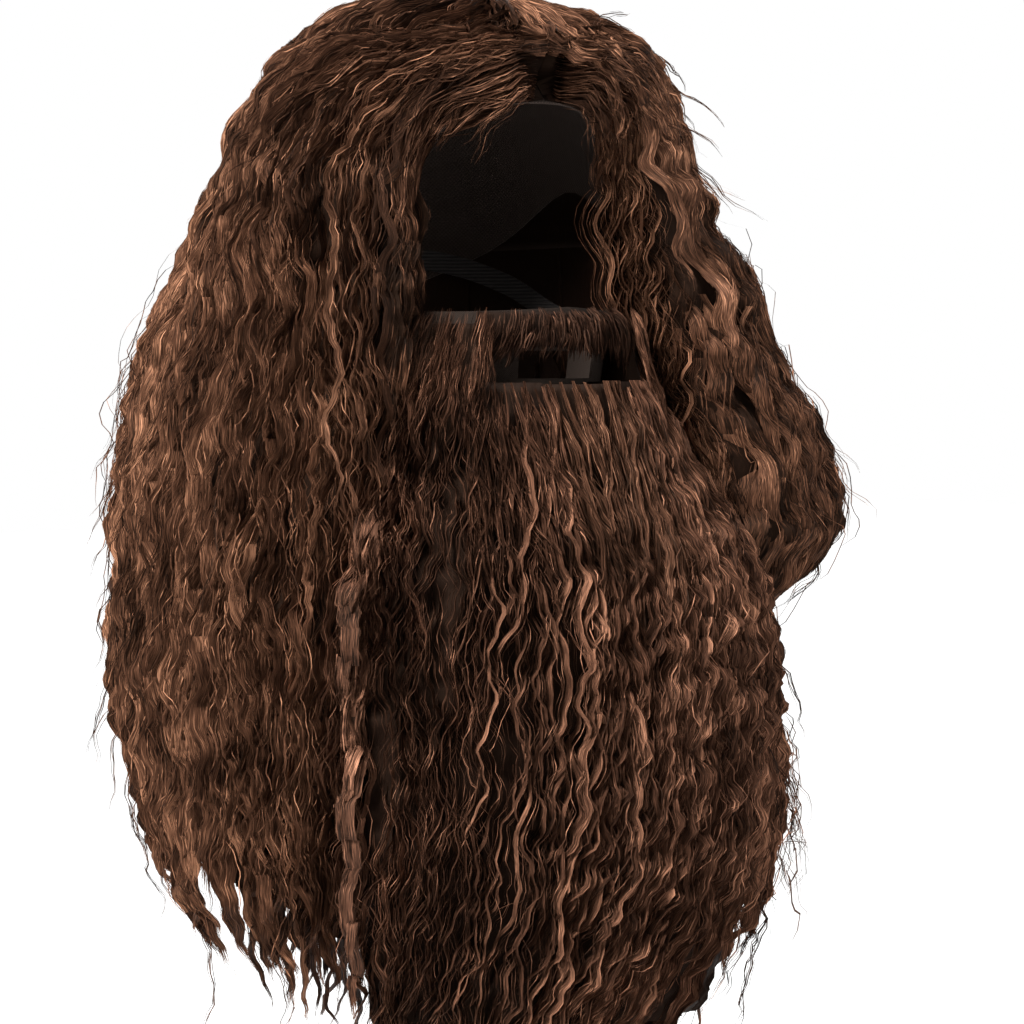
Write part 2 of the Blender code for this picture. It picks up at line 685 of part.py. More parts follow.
def make_strap():
    outer = {}
    inner = {}
    half = STRAP_WIDTH / 2
    for step in range(STRAP_STEPS + 1):
        bearing = STRAP_FRONT_ANGLE + (360 - 2 * STRAP_FRONT_ANGLE) * step / STRAP_STEPS
        away = bearing if bearing <= 180 else 360 - bearing
        climb = smooth(STRAP_BEARINGS, STRAP_CLIMB, away)
        middle = STRAP_FRONT_DROP + (STRAP_BACK_DROP - STRAP_FRONT_DROP) * climb
        onto_cap = ease(BACKING_HALF_ANGLE, STRAP_ON_HEAD_ANGLE, away)
        for row, drop in enumerate((middle - half, middle, middle + half)):
            level = math.sin(math.radians(polar_at_drop(drop)))
            for grid, inset in ((outer, SEAT_GAP), (inner, SEAT_GAP + STRAP_THICKNESS)):
                on_jaw = jaw_radius(-inset, away, drop)
                ring = ring_radius(HEAD_HALF_WIDTH - inset, HEAD_HALF_DEPTH - inset, away)
                on_head = ring * level * CAP_FACET_ROOM
                radius = on_jaw + (on_head - on_jaw) * onto_cap
                grid[step, row] = spot(radius, bearing, -drop)
    cells = [(step, row) for step in range(STRAP_STEPS) for row in range(2)]
    return shell_solid("beard_strap", outer, inner, cells, (0.015, 0.012, 0.011), 0.8)


def main():
    for old in list(bpy.data.objects):
        bpy.data.objects.remove(old, do_unlink=True)
    make_cap()
    make_wig_hair()
    make_backing()
    make_moustache()
    make_beard_hair()
    make_strap()


main()
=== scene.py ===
import math

import bpy
import numpy as np
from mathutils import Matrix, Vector


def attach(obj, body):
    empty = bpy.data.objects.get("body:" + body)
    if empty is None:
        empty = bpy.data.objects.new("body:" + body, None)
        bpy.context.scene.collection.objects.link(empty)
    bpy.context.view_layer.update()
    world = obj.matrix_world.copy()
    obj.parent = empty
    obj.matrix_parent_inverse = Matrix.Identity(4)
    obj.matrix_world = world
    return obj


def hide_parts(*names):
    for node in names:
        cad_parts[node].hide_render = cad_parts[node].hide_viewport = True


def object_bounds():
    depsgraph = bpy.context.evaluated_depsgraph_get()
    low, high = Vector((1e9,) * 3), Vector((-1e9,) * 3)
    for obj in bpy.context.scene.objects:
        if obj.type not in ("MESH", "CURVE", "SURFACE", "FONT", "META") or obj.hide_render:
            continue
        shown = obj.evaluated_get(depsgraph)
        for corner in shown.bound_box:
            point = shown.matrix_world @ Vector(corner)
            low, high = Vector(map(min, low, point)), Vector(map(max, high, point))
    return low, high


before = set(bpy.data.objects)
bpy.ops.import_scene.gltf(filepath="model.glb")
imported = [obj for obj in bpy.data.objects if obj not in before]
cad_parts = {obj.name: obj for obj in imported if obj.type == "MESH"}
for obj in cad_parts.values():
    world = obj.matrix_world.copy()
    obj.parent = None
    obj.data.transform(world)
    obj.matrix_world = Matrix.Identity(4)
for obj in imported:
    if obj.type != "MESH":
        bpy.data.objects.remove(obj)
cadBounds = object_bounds()
chance = np.random.default_rng(11)


# Nodes written as sums

def isVector(part):
    return isinstance(part, Field) and part.socket.type == "VECTOR"


class Field:
    # one socket of a node tree; the usual operators add maths nodes

    def __init__(self, nodes, socket):
        self.nodes = nodes
        self.socket = socket

    def combine(self, operation, left, right):
        if not (isVector(left) or isVector(right)):
            return self.nodes.add("ShaderNodeMath", {"operation": operation}, {0: left, 1: right})
        if operation == "MULTIPLY":
            vector, factor = (left, right) if isVector(left) else (right, left)
            return self.nodes.add("ShaderNodeVectorMath", {"operation": "SCALE"}, {0: vector, "Scale": factor})
        return self.nodes.add("ShaderNodeVectorMath", {"operation": operation}, {0: left, 1: right})

    def __add__(self, other):
        return self.combine("ADD", self, other)

    __radd__ = __add__

    def __mul__(self, other):
        return self.combine("MULTIPLY", self, other)

    __rmul__ = __mul__

    def __sub__(self, other):
        return self.combine("SUBTRACT", self, other)

    def __rsub__(self, other):
        return self.combine("SUBTRACT", other, self)

    def __truediv__(self, other):
        return self.combine("DIVIDE", self, other)

    def out(self, name):
        # another output of the same node
        return Field(self.nodes, next(s for s in self.socket.node.outputs if s.enabled and s.name == name))


class Nodes:
    # builds one node tree

    def __init__(self, tree):
        self.tree = tree

    def add(self, kind, settings=None, values=None):
        # a node of any kind: first its settings, then its inputs by name or place
        node = self.tree.nodes.new(kind)
        for name, value in (settings or {}).items():
            setattr(node, name, value)
        for name, value in (values or {}).items():
            usable = [s for s in node.inputs if s.enabled]
            socket = usable[name] if isinstance(name, int) else next(s for s in usable if s.name == name)
            if isinstance(value, Field):
                self.tree.links.new(value.socket, socket)
            else:
                socket.default_value = value
        first = next((s for s in node.outputs if s.enabled), None)
        return Field(self, first)

    def maths(self, operation, *values):
        return self.add("ShaderNodeMath", {"operation": operation}, dict(enumerate(values)))

    def ramp(self, value, low, high):
        # 0 below low, 1 above high, smooth between
        return self.add(
            "ShaderNodeMapRange",
            {"interpolation_type": "SMOOTHSTEP"},
            {"Value": value, "From Min": low, "From Max": high},
        )

    def blend(self, share, first, second):
        # mixes two colours
        return self.add("ShaderNodeMix", {"data_type": "RGBA"}, {"Factor": share, "A": first, "B": second})

    def read(self, name, kind="FLOAT"):
        return self.add("GeometryNodeInputNamedAttribute", {"data_type": kind}, {"Name": name})

    def store(self, geometry, name, value, kind="FLOAT", domain="POINT"):
        return self.add(
            "GeometryNodeStoreNamedAttribute",
            {"data_type": kind, "domain": domain},
            {"Geometry": geometry, "Name": name, "Value": value},
        )


# Forms: where the hair's surface lies, in the row frame

head = {"halfWidth": 0.078, "halfDepth": 0.098, "halfHeight": 0.105, "wall": 0.0018}
opening = {"halfAngle": 55.0, "hairline": 0.041, "temple": 0.100, "roundness": 2.6, "spread": 0.012}
wigForm = {
    "rise": 0.020,
    "side": 0.059,
    "volume": 0.100,
    "drop": 0.380,
    "neckRoom": 0.115,
    "lump": 0.0045,
    "endBearings": (-180, -150, -128, -118, -108, -95, -75, -55, 55, 65, 80, 100, 128, 150, 180),
    "endShares": (1.00, 0.96, 1.00, 1.12, 1.22, 1.33, 1.41, 1.47, 0.93, 0.87, 0.85, 0.87, 0.92, 0.97, 1.00),
    "crownAngles": (0, 25, 45, 60, 75, 90),
    "crownOutward": (0.0, 0.34, 0.54, 0.71, 0.83, 1.0),
    "crownUpward": (1.0, 1.0, 0.9, 0.5, 0.15, 0.0),
    "crownBearings": (-180, -120, -55, 0, 55, 120, 180),
    "crownFullness": (0.68, 0.84, 0.98, 0.36, 1.06, 1.0, 0.68),
    "fallShares": (0.0, 0.12, 0.3, 0.5, 0.7, 0.88, 1.0),
    "fallInside": (0.0, 0.05, 0.2, 0.5, 0.8, 0.95, 1.0),
    "fallBearings": (-180, -120, -55, 55, 120, 180),
    "fallThickness": (
        (0.45, 0.64, 0.59, 0.82, 0.70, 0.45),
        (0.48, 0.81, 0.65, 0.95, 0.80, 0.48),
        (0.48, 0.80, 0.67, 1.12, 0.86, 0.48),
        (0.45, 0.72, 0.60, 1.22, 0.82, 0.45),
        (0.36, 0.66, 0.44, 0.90, 0.62, 0.36),
        (0.12, 0.30, 0.14, 0.22, 0.20, 0.12),
    ),
}
beardForm = {
    "top": 0.151,
    "chin": 0.235,
    "end": 0.600,
    "volume": 0.060,
    "hangRadius": 0.112,
    "jawHalfWidth": 0.074,
    "jawHalfDepth": 0.099,
    "taper": 0.86,
    "lump": 0.004,
    "shares": (0.0, 0.09, 0.19, 0.33, 0.56, 0.67, 0.82, 1.0),
    "inside": (0.0, 0.0, 0.05, 0.7, 1.0, 1.0, 0.95, 0.9),
    "thickness": (0.20, 0.45, 0.80, 1.0, 1.0, 0.97, 0.75, 0.20),
    "leftEdge": (1.0, 1.0, 1.0, 1.0, 0.98, 0.91, 0.58, 0.18),
    "endPlaces": (-1.0, -0.5, 0.0, 0.5, 1.0),
    "endShares": (0.96, 1.0, 0.99, 0.94, 0.84),
}


def smooth(places, values, at):
    # smooth curve through a table; each row of values is one number or one for each place asked for
    places = np.array(places, float)
    at = np.clip(np.asarray(at, float), places[0], places[-1])
    table = np.array([np.broadcast_to(value, at.shape) for value in values], float)
    last = len(places) - 1
    low = np.maximum(np.arange(last + 1) - 1, 0)
    high = np.minimum(np.arange(last + 1) + 1, last)
    gaps = (places[high] - places[low]).reshape((-1,) + (1,) * at.ndim)
    slopes = (table[high] - table[low]) / gaps
    i = np.clip(np.searchsorted(places, at, side="right") - 1, 0, last - 1)
    step = places[i + 1] - places[i]
    s = (at - places[i]) / step

    def pick(rows, row):
        return np.take_along_axis(rows, row[None], 0)[0]

    start, stop = pick(table, i), pick(table, i + 1)
    bend = pick(slopes, i) * step * s * (1 - s) ** 2 - pick(slopes, i + 1) * step * s * s * (1 - s)
    return start + (stop - start) * s * s * (3 - 2 * s) + bend


def ease(low, high, at):
    share = np.clip((np.asarray(at, float) - low) / (high - low), 0, 1)
    return share * share * (3 - 2 * share)


def spots(radius, bearing, height):
    angle = np.radians(bearing)
    return np.stack([radius * np.sin(angle), -radius * np.cos(angle), height], -1)


def ringRadius(halfWidth, halfDepth, bearing):
    angle = np.radians(bearing)
    return 1 / np.hypot(np.sin(angle) / halfWidth, np.cos(angle) / halfDepth)


def openingHalfAngle(drop):
    share = np.clip((opening["temple"] - drop) / (opening["temple"] - opening["hairline"]), 0, 1)
    power = opening["roundness"]
    return opening["halfAngle"] * (1 - share**power) ** (1 / power)


def hangingEnd(bearing):
    return wigForm["drop"] * smooth(wigForm["endBearings"], wigForm["endShares"], bearing)


def lumps(across, along):
    # slow swelling of the hair's outside, between about -1 and 1
    slow = np.sin(9.7 * across + 31 * along + 1.3) + np.sin(17.3 * across - 23 * along)
    quick = np.sin(29.1 * across + 47 * along + 0.7) + np.sin(41.9 * across - 61 * along + 2.1)
    return (slow + 0.6 * quick) / 3.2


def wigSpots(column, fall, depth):
    # column -1 to 1 round the cap from the front over the right, back and left; fall 0 to 1 over the
    # crown and 1 to 2 down to the tips; depth 0 at the inside and 1 at the outside.
    # Returns the points and the directions that face outwards.
    column, fall, depth = np.broadcast_arrays(np.asarray(column, float), fall, depth)
    crown = np.clip(fall, 0, 1)
    polar = 90 * crown
    tilt = np.radians(polar)
    fullHeight = head["halfHeight"] + head["wall"]
    drop = fullHeight * (1 - np.cos(tilt)) - head["wall"]
    halfAngle = openingHalfAngle(drop + depth * opening["spread"])
    sweep = column * (180 - halfAngle)
    bearing = np.where(sweep < 0, -1, 1) * (180 - np.abs(sweep))
    ring = ringRadius(head["halfWidth"] + head["wall"], head["halfDepth"] + head["wall"], bearing)
    radius = ring * np.sin(tilt)
    height = -head["halfHeight"] + fullHeight * np.cos(tilt)
    over = np.clip(np.abs(column) - 0.76, 0, None) / 0.24
    roll = 0.35 + 0.65 * np.sqrt(np.clip(1 - over**2.5, 0, None))
    fullness = 1 - (1 - roll) * halfAngle / opening["halfAngle"]
    sideways = wigForm["side"] * smooth(wigForm["crownBearings"], wigForm["crownFullness"], bearing)
    onCrown = smooth(wigForm["crownAngles"], wigForm["crownOutward"], polar) * sideways * fullness
    upward = wigForm["rise"] * smooth(wigForm["crownAngles"], wigForm["crownUpward"], polar)
    share = np.clip(fall - 1, 0, None)
    hang = hangingEnd(bearing) - head["halfHeight"]
    radius = radius + (wigForm["neckRoom"] - radius) * smooth(wigForm["fallShares"], wigForm["fallInside"], share)
    below = [wigForm["volume"] * smooth(wigForm["fallBearings"], row, bearing) for row in wigForm["fallThickness"]]
    hanging = smooth(wigForm["fallShares"], [sideways] + below, share) * fullness
    outward = np.where(fall <= 1, onCrown, hanging)
    lift = wigForm["lump"] * (1 + lumps(column, fall)) * np.sin(tilt) ** 2
    height = np.where(fall <= 1, height + depth * upward, -head["halfHeight"] - hang * share)
    places = spots(radius + depth * (outward + lift), bearing, height)
    facing = spots(np.sin(tilt), bearing, np.cos(tilt))
    return places, facing


def jawRadius(bearing, drop):
    low = np.clip((drop - beardForm["top"]) / (beardForm["chin"] - beardForm["top"]), 0, 1)
    taper = 1 - (1 - beardForm["taper"]) * low
    room = head["wall"]
    return ringRadius(beardForm["jawHalfWidth"] * taper + room, beardForm["jawHalfDepth"] * taper + room, bearing)


def beardSpots(column, drop, depth):
    # column -1 to 1 over the front from the right to the left; drop is the depth below the crown
    column, drop, depth = np.broadcast_arrays(np.asarray(column, float), drop, depth)
    share = (drop - beardForm["top"]) / (beardForm["end"] - beardForm["top"])
    half = opening["halfAngle"]
    leftEdge = half * smooth(beardForm["shares"], beardForm["leftEdge"], share)
    bearing = -half + (leftEdge + half) * (column + 1) / 2
    inside = jawRadius(bearing, drop)
    inside = inside + (beardForm["hangRadius"] - inside) * smooth(beardForm["shares"], beardForm["inside"], share)
    outward = beardForm["volume"] * smooth(beardForm["shares"], beardForm["thickness"], share)
    lift = beardForm["lump"] * (1 + lumps(column, 4 * share)) * np.clip(3 * share, 0, 1)
    places = spots(inside + depth * (outward + lift), bearing, -drop)
    return places, spots(np.ones_like(drop), bearing, 0 * drop)


def beardEnd(column):
    return beardForm["end"] * smooth(beardForm["endPlaces"], beardForm["endShares"], column)


# Guides: one line for each lock, which the node tree turns into a lock's body and its strands

class Guides:
    # collects closed sheets and guide lines, and writes them into one mesh with its attributes

    def __init__(self):
        self.places = []
        self.facing = []
        self.girth = []
        self.tone = []
        self.frizz = []
        self.strands = []
        self.body = []
        self.edges = []
        self.faces = []
        self.faceCorners = []
        self.total = 0

    def line(self, places, facing, girth, tone, frizz, strands, body):
        count = len(places)
        self.places.append(places)
        self.facing.append(facing)
        self.girth.append(np.broadcast_to(girth, count))
        for store, value in ((self.tone, tone), (self.frizz, frizz), (self.strands, strands), (self.body, body)):
            store.append(np.full(count, float(value)))
        first = self.total
        self.edges += [(first + k, first + k + 1) for k in range(count - 1)]
        self.total += count

    def shell(self, outer, inner, outerFacing, acrossMetres, alongMetres, tone):
        # a closed block between two grids of rows by columns
        rows, columns = outer.shape[:2]
        ring = np.concatenate([outer, inner[:, ::-1]], 1)
        ringFacing = np.concatenate([outerFacing, -outerFacing[:, ::-1]], 1)
        across = np.concatenate([acrossMetres, acrossMetres[:, ::-1]], 1)
        along = np.concatenate([alongMetres, alongMetres[:, ::-1]], 1)
        around = 2 * columns
        first = self.total
        self.places.append(ring.reshape(-1, 3))
        self.facing.append(ringFacing.reshape(-1, 3))
        count = rows * around
        self.girth.append(np.zeros(count))
        for store, value in ((self.tone, tone), (self.frizz, 0), (self.strands, 0), (self.body, 0)):
            store.append(np.full(count, float(value)))
        marks = np.stack([across, along], -1).reshape(-1, 2)

        def number(row, column):
            return row * around + column % around

        faces = []
        for row in range(rows - 1):
            for column in range(around):
                near, far = number(row, column), number(row + 1, column)
                faces.append((near, far, number(row + 1, column + 1), number(row, column + 1)))
        for row, turned in ((0, False), (rows - 1, True)):
            for column in range(columns - 1):
                near, far = number(row, column), number(row, around - 1 - column)
                face = (near, number(row, column + 1), number(row, around - 2 - column), far)
                faces.append(face[::-1] if turned else face)
        for face in faces:
            self.faces.append(tuple(first + corner for corner in face))
            self.faceCorners += [marks[corner] for corner in face]
        self.total += count

    def mesh(self, name):
        made = bpy.data.meshes.new(name)
        made.from_pydata(np.concatenate(self.places).tolist(), self.edges, self.faces)
        for title, kind, parts in (
            ("facing", "FLOAT_VECTOR", self.facing),
            ("girth", "FLOAT", self.girth),
            ("tone", "FLOAT", self.tone),
            ("frizz", "FLOAT", self.frizz),
            ("strands", "FLOAT", self.strands),
            ("body", "FLOAT", self.body),
        ):
            attribute = made.attributes.new(title, kind, "POINT")
            attribute.data.foreach_set("vector" if kind == "FLOAT_VECTOR" else "value", np.concatenate(parts).ravel())
        if self.faces:
            layer = made.uv_layers.new(name="UVMap")
            layer.data.foreach_set("uv", np.array(self.faceCorners, float).ravel())
        return made


def alongPath(form, first, second, spacing):
    # points evenly spaced along a path over a form; first and second are its two coordinates
    rough, _ = form(first, second, 1.0)
    lengths = np.r_[0, np.cumsum(np.linalg.norm(np.diff(rough, axis=0), axis=1))]
    count = max(int(lengths[-1] / spacing) + 1, 4)
    at = np.linspace(0, lengths[-1], count)
    places, facing = form(np.interp(at, lengths, first), np.interp(at, lengths, second), 1.0)
    return places, facing, at


def waved(places, facing, at, look, number):
    # crimps and longer waves, sideways and in and out; neighbouring locks keep nearly the same beat
    tangent = np.gradient(places, axis=0)
    tangent /= np.linalg.norm(tangent, axis=1)[:, None] + 1e-12
    sideways = np.cross(tangent, facing)
    sideways /= np.linalg.norm(sideways, axis=1)[:, None] + 1e-12
    full = at[-1]
    strength = ease(0, look["waveStart"], at)
    beat = look["beat"] * number + chance.normal(0, look["beatSpread"])
    drift = chance.normal(0, 1)
    pitch = look["crimpLength"] * chance.uniform(0.85, 1.2)
    turn = 2 * math.pi * at / pitch + beat + 0.8 * np.sin(2 * math.pi * at / (4.3 * pitch) + drift)
    crimp = look["crimpHeight"] * chance.uniform(0.7, 1.25) * strength
    slow = 2 * math.pi * at / look["waveLength"] * chance.uniform(0.8, 1.25) + chance.uniform(0, 6.3)
    wave = look["waveHeight"] * strength
    lateral = crimp * np.sin(turn) + wave * np.sin(slow) + chance.normal(0, look["lean"]) * (at / full) ** 1.5
    radial = 0.55 * crimp * np.cos(turn) + 0.6 * wave * np.cos(1.3 * slow + drift)
    return places + sideways * lateral[:, None] + facing * radial[:, None], facing


def addLock(guides, form, first, second, look, number, lift=0.0, dive=None, **changes):
    # one lock from its buried root to its free tip
    look = {**look, **changes}
    places, facing, at = alongPath(form, first, second, look["spacing"])
    share = at / at[-1]
    dive = look["dive"] if dive is None else dive
    raised = lift - (dive + lift) * (1 - ease(0, look["rootShare"], share)) + look["flare"] * share**2
    places, facing = waved(places + facing * raised[:, None], facing, at, look, number)
    girth = look["girth"] * chance.uniform(0.7, 1.3)
    girth *= (0.55 + 0.45 * ease(0, 0.3, share)) * (1 - (1 - look["tipGirth"]) * share ** look["tipPower"])
    tone = chance.uniform(*look["tones"])
    strands = max(int(round(look["strands"] * chance.uniform(0.7, 1.3))), 1)
    guides.line(places, facing, girth, tone, look["frizz"], strands, look["body"])


# The node tree that grows the hair on the guides

strandForm = {
    "latestStart": 0.16,  # shares of the guide that a strand may leave out at its ends
    "earliestEnd": 0.3,
    "gather": 0.2,  # how much a strand moves over the lock's width on its way
    "scatter": 0.5,
    "turn": 0.75,
    "thinTip": 0.75,
    "toneRange": 0.24,
    "darker": 0.10,
}


def hairTree():
    tree = bpy.data.node_groups.new("hair", "GeometryNodeTree")
    sockets = (
        ("Geometry", "NodeSocketGeometry"),
        ("Strand width", "NodeSocketFloat"),
        ("Spread", "NodeSocketFloat"),
        ("Fullness", "NodeSocketFloat"),
        ("Frizz height", "NodeSocketFloat"),
        ("Frizz length", "NodeSocketFloat"),
        ("Body arch", "NodeSocketFloat"),
        ("Seed", "NodeSocketInt"),
        ("Material", "NodeSocketMaterial"),
        ("Frayed material", "NodeSocketMaterial"),
    )
    for name, kind in sockets:
        tree.interface.new_socket(name=name, in_out="INPUT", socket_type=kind)
    tree.interface.new_socket(name="Geometry", in_out="OUTPUT", socket_type="NodeSocketGeometry")
    nodes = Nodes(tree)
    given = nodes.add("NodeGroupInput")
    guides = given.out("Geometry")

    # the blocks under the locks pass through, the loose edges become curves
    faceCount = nodes.add("GeometryNodeInputMeshEdgeNeighbors")
    isLoose = nodes.add("FunctionNodeCompare", {"data_type": "INT", "operation": "EQUAL"}, {"A": faceCount, "B": 0})
    blocks = nodes.add("GeometryNodeDeleteGeometry", {"domain": "EDGE"}, {"Geometry": guides, "Selection": isLoose})
    curves = nodes.add("GeometryNodeMeshToCurve", None, {"Mesh": guides, "Selection": isLoose})
    index = nodes.add("GeometryNodeInputIndex")

    def draw(low, high, salt):
        seed = given.out("Seed") + salt
        settings = {"data_type": "FLOAT_VECTOR"}
        return nodes.add("FunctionNodeRandomValue", settings, {"Min": low, "Max": high, "ID": index, "Seed": seed})

    def split(vector):
        return nodes.add("ShaderNodeSeparateXYZ", None, {0: vector})

    facing = nodes.read("facing", "FLOAT_VECTOR")
    girth = nodes.read("girth")
    parameter = nodes.add("GeometryNodeSplineParameter")
    length = parameter.out("Length")
    along = parameter.out("Factor")

    # each lock's body: a shallow arch swept along the guide
    bodied = nodes.store(curves, "pick", draw((0, 0, 0), (1, 1, 1), 1), "FLOAT_VECTOR", "CURVE")
    bodied = nodes.store(bodied, "length", length)
    bodied = nodes.store(bodied, "reach", along)
    bodied = nodes.store(bodied, "frayed", 1.0)
    bodied = nodes.add("GeometryNodeSetCurveNormal", {"mode": "FREE"}, {"Curve": bodied, "Normal": facing})
    hasBody = nodes.maths("GREATER_THAN", nodes.read("body"), 0.5)
    chosen = {"Geometry": bodied, "Selection": hasBody}
    bodied = nodes.add("GeometryNodeSeparateGeometry", {"domain": "CURVE"}, chosen)
    arch = nodes.add("GeometryNodeCurvePrimitiveLine", None, {"Start": (-1, 0, 0), "End": (1, 0, 0)})
    arch = nodes.add("GeometryNodeResampleCurve", None, {"Curve": arch, "Count": 3})
    archAcross = split(nodes.add("GeometryNodeInputPosition"))
    sag = archAcross * archAcross * -1.0 * given.out("Body arch")
    bend = nodes.add("ShaderNodeCombineXYZ", None, {"Y": sag})
    arch = nodes.add("GeometryNodeSetPosition", None, {"Geometry": arch, "Offset": bend})
    arch = nodes.store(arch, "across", archAcross)
    bodies = nodes.add("GeometryNodeCurveToMesh", None, {"Curve": bodied, "Profile Curve": arch, "Scale": girth})

    # the strands: copies of the guide spread over the lock's body, each with its own start, end and frizz
    strands = nodes.add(
        "GeometryNodeDuplicateElements", {"domain": "SPLINE"}, {"Geometry": curves, "Amount": nodes.read("strands")}
    )
    strands = nodes.store(strands, "pick", draw((0, 0, 0), (1, 1, 1), 2), "FLOAT_VECTOR", "CURVE")
    strands = nodes.store(strands, "place", draw((-1, 0, -1), (1, 1, 1), 3), "FLOAT_VECTOR", "CURVE")
    pick = split(nodes.read("pick", "FLOAT_VECTOR"))
    start = strandForm["latestStart"] * pick.out("X")
    end = 1.0 - strandForm["earliestEnd"] * pick.out("Y") * pick.out("Y")
    trimmed = {"Curve": strands, "Start": start, "End": end}
    strands = nodes.add("GeometryNodeTrimCurve", {"mode": "FACTOR"}, trimmed)
    place = split(nodes.read("place", "FLOAT_VECTOR"))
    tangent = nodes.add("GeometryNodeInputTangent")
    crossed = nodes.add("ShaderNodeVectorMath", {"operation": "CROSS_PRODUCT"}, {0: tangent, 1: facing})
    sideways = nodes.add("ShaderNodeVectorMath", {"operation": "NORMALIZE"}, {0: crossed})
    drift = nodes.maths("SINE", along * 5.0 + pick.out("Z") * 6.3)
    across = place.out("X") * (1.0 - strandForm["gather"] + strandForm["gather"] * drift)
    arched = 1.0 - across * across
    shift = sideways * (across * girth * given.out("Spread"))
    risen = arched * given.out("Body arch") + strandForm["scatter"] * place.out("Y")
    shift = shift + facing * (girth * given.out("Fullness") * risen)
    anywhere = nodes.read("pick", "FLOAT_VECTOR") * 9.0
    position = nodes.add("GeometryNodeInputPosition")
    scaled = position * nodes.maths("DIVIDE", 1.0, given.out("Frizz length"))
    wander = nodes.add("ShaderNodeTexNoise", None, {"Vector": scaled + anywhere, "Scale": 1.0, "Detail": 1.0})
    wander = wander.out("Color")
    centred = nodes.add("ShaderNodeVectorMath", {"operation": "SUBTRACT"}, {0: wander, 1: (0.5, 0.5, 0.5)})
    shift = shift + centred * (given.out("Frizz height") * nodes.read("frizz") * nodes.ramp(along, 0.0, 0.35))
    strands = nodes.add("GeometryNodeSetPosition", None, {"Geometry": strands, "Offset": shift})
    strands = nodes.store(strands, "length", length)
    tilted = facing + sideways * (strandForm["turn"] * place.out("Z"))
    strands = nodes.add("GeometryNodeSetCurveNormal", {"mode": "FREE"}, {"Curve": strands, "Normal": tilted})
    thread = nodes.add("GeometryNodeCurvePrimitiveLine", None, {"Start": (-0.5, 0, 0), "End": (0.5, 0, 0)})
    thread = nodes.store(thread, "across", 0.0)
    ends = nodes.ramp(along, 0.0, 0.06) * (1.0 - strandForm["thinTip"] * nodes.ramp(along, 0.75, 1.0))
    width = given.out("Strand width") * (0.6 + 0.8 * pick.out("Z")) * ends
    ribbons = nodes.add("GeometryNodeCurveToMesh", None, {"Curve": strands, "Profile Curve": thread, "Scale": width})
    lighter = nodes.read("tone") + strandForm["toneRange"] * pick.out("Y") - strandForm["darker"]
    ribbons = nodes.store(ribbons, "tone", lighter)

    # the marks that the material reads: metres across and along
    grown = nodes.add("GeometryNodeJoinGeometry")
    for part in (bodies, ribbons):
        tree.links.new(part.socket, grown.socket.node.inputs[0])
    offset = split(nodes.read("pick", "FLOAT_VECTOR")).out("Z")
    acrossMetres = nodes.read("across") * nodes.read("girth") + offset * 2.0
    alongMetres = nodes.read("length") + offset
    marks = nodes.add("ShaderNodeCombineXYZ", None, {"X": acrossMetres, "Y": alongMetres})
    grown = nodes.store(grown, "UVMap", marks, "FLOAT2", "CORNER")
    whole = nodes.add("GeometryNodeJoinGeometry")
    for part in (grown, blocks):
        tree.links.new(part.socket, whole.socket.node.inputs[0])
    whole = nodes.add("GeometryNodeSetShadeSmooth", None, {"Geometry": whole})
    whole = nodes.add("GeometryNodeRealizeInstances", None, {"Geometry": whole})
    whole = nodes.add("GeometryNodeSetMaterial", None, {"Geometry": whole, "Material": given.out("Material")})
    isFrayed = nodes.maths("GREATER_THAN", nodes.read("frayed"), 0.5)
    frayed = {"Geometry": whole, "Selection": isFrayed, "Material": given.out("Frayed material")}
    whole = nodes.add("GeometryNodeSetMaterial", None, frayed)
    result = tree.nodes.new("NodeGroupOutput")
    tree.links.new(whole.socket, result.inputs["Geometry"])
    return tree


hairGroup = hairTree()
hairSockets = {item.name: item.identifier for item in hairGroup.interface.items_tree if item.in_out == "INPUT"}


def growHair(name, guides, growth, material):
    # runs the node tree on the guides and keeps the result as a plain mesh
    piece = bpy.data.objects.new(name, guides.mesh(name))
    bpy.context.scene.collection.objects.link(piece)
    modifier = piece.modifiers.new("hair", "NODES")
    modifier.node_group = hairGroup
    for title, value in growth.items():
        modifier[hairSockets[title]] = value
    modifier[hairSockets["Material"]] = material[0]
    modifier[hairSockets["Frayed material"]] = material[1]
    view = bpy.context.evaluated_depsgraph_get()
    grown = bpy.data.meshes.new_from_object(piece.evaluated_get(view), preserve_all_data_layers=True, depsgraph=view)
    piece.modifiers.clear()
    piece.data = grown
    grown.name = name
    for title in ("facing", "girth", "frizz", "strands", "body", "pick", "place", "length", "frayed"):
        attribute = grown.attributes.get(title)
        if attribute:
            grown.attributes.remove(attribute)
    triangles = sum(len(face.vertices) - 2 for face in grown.polygons)
    print(f"{name}: {triangles} triangles")
    return piece


# Finishes

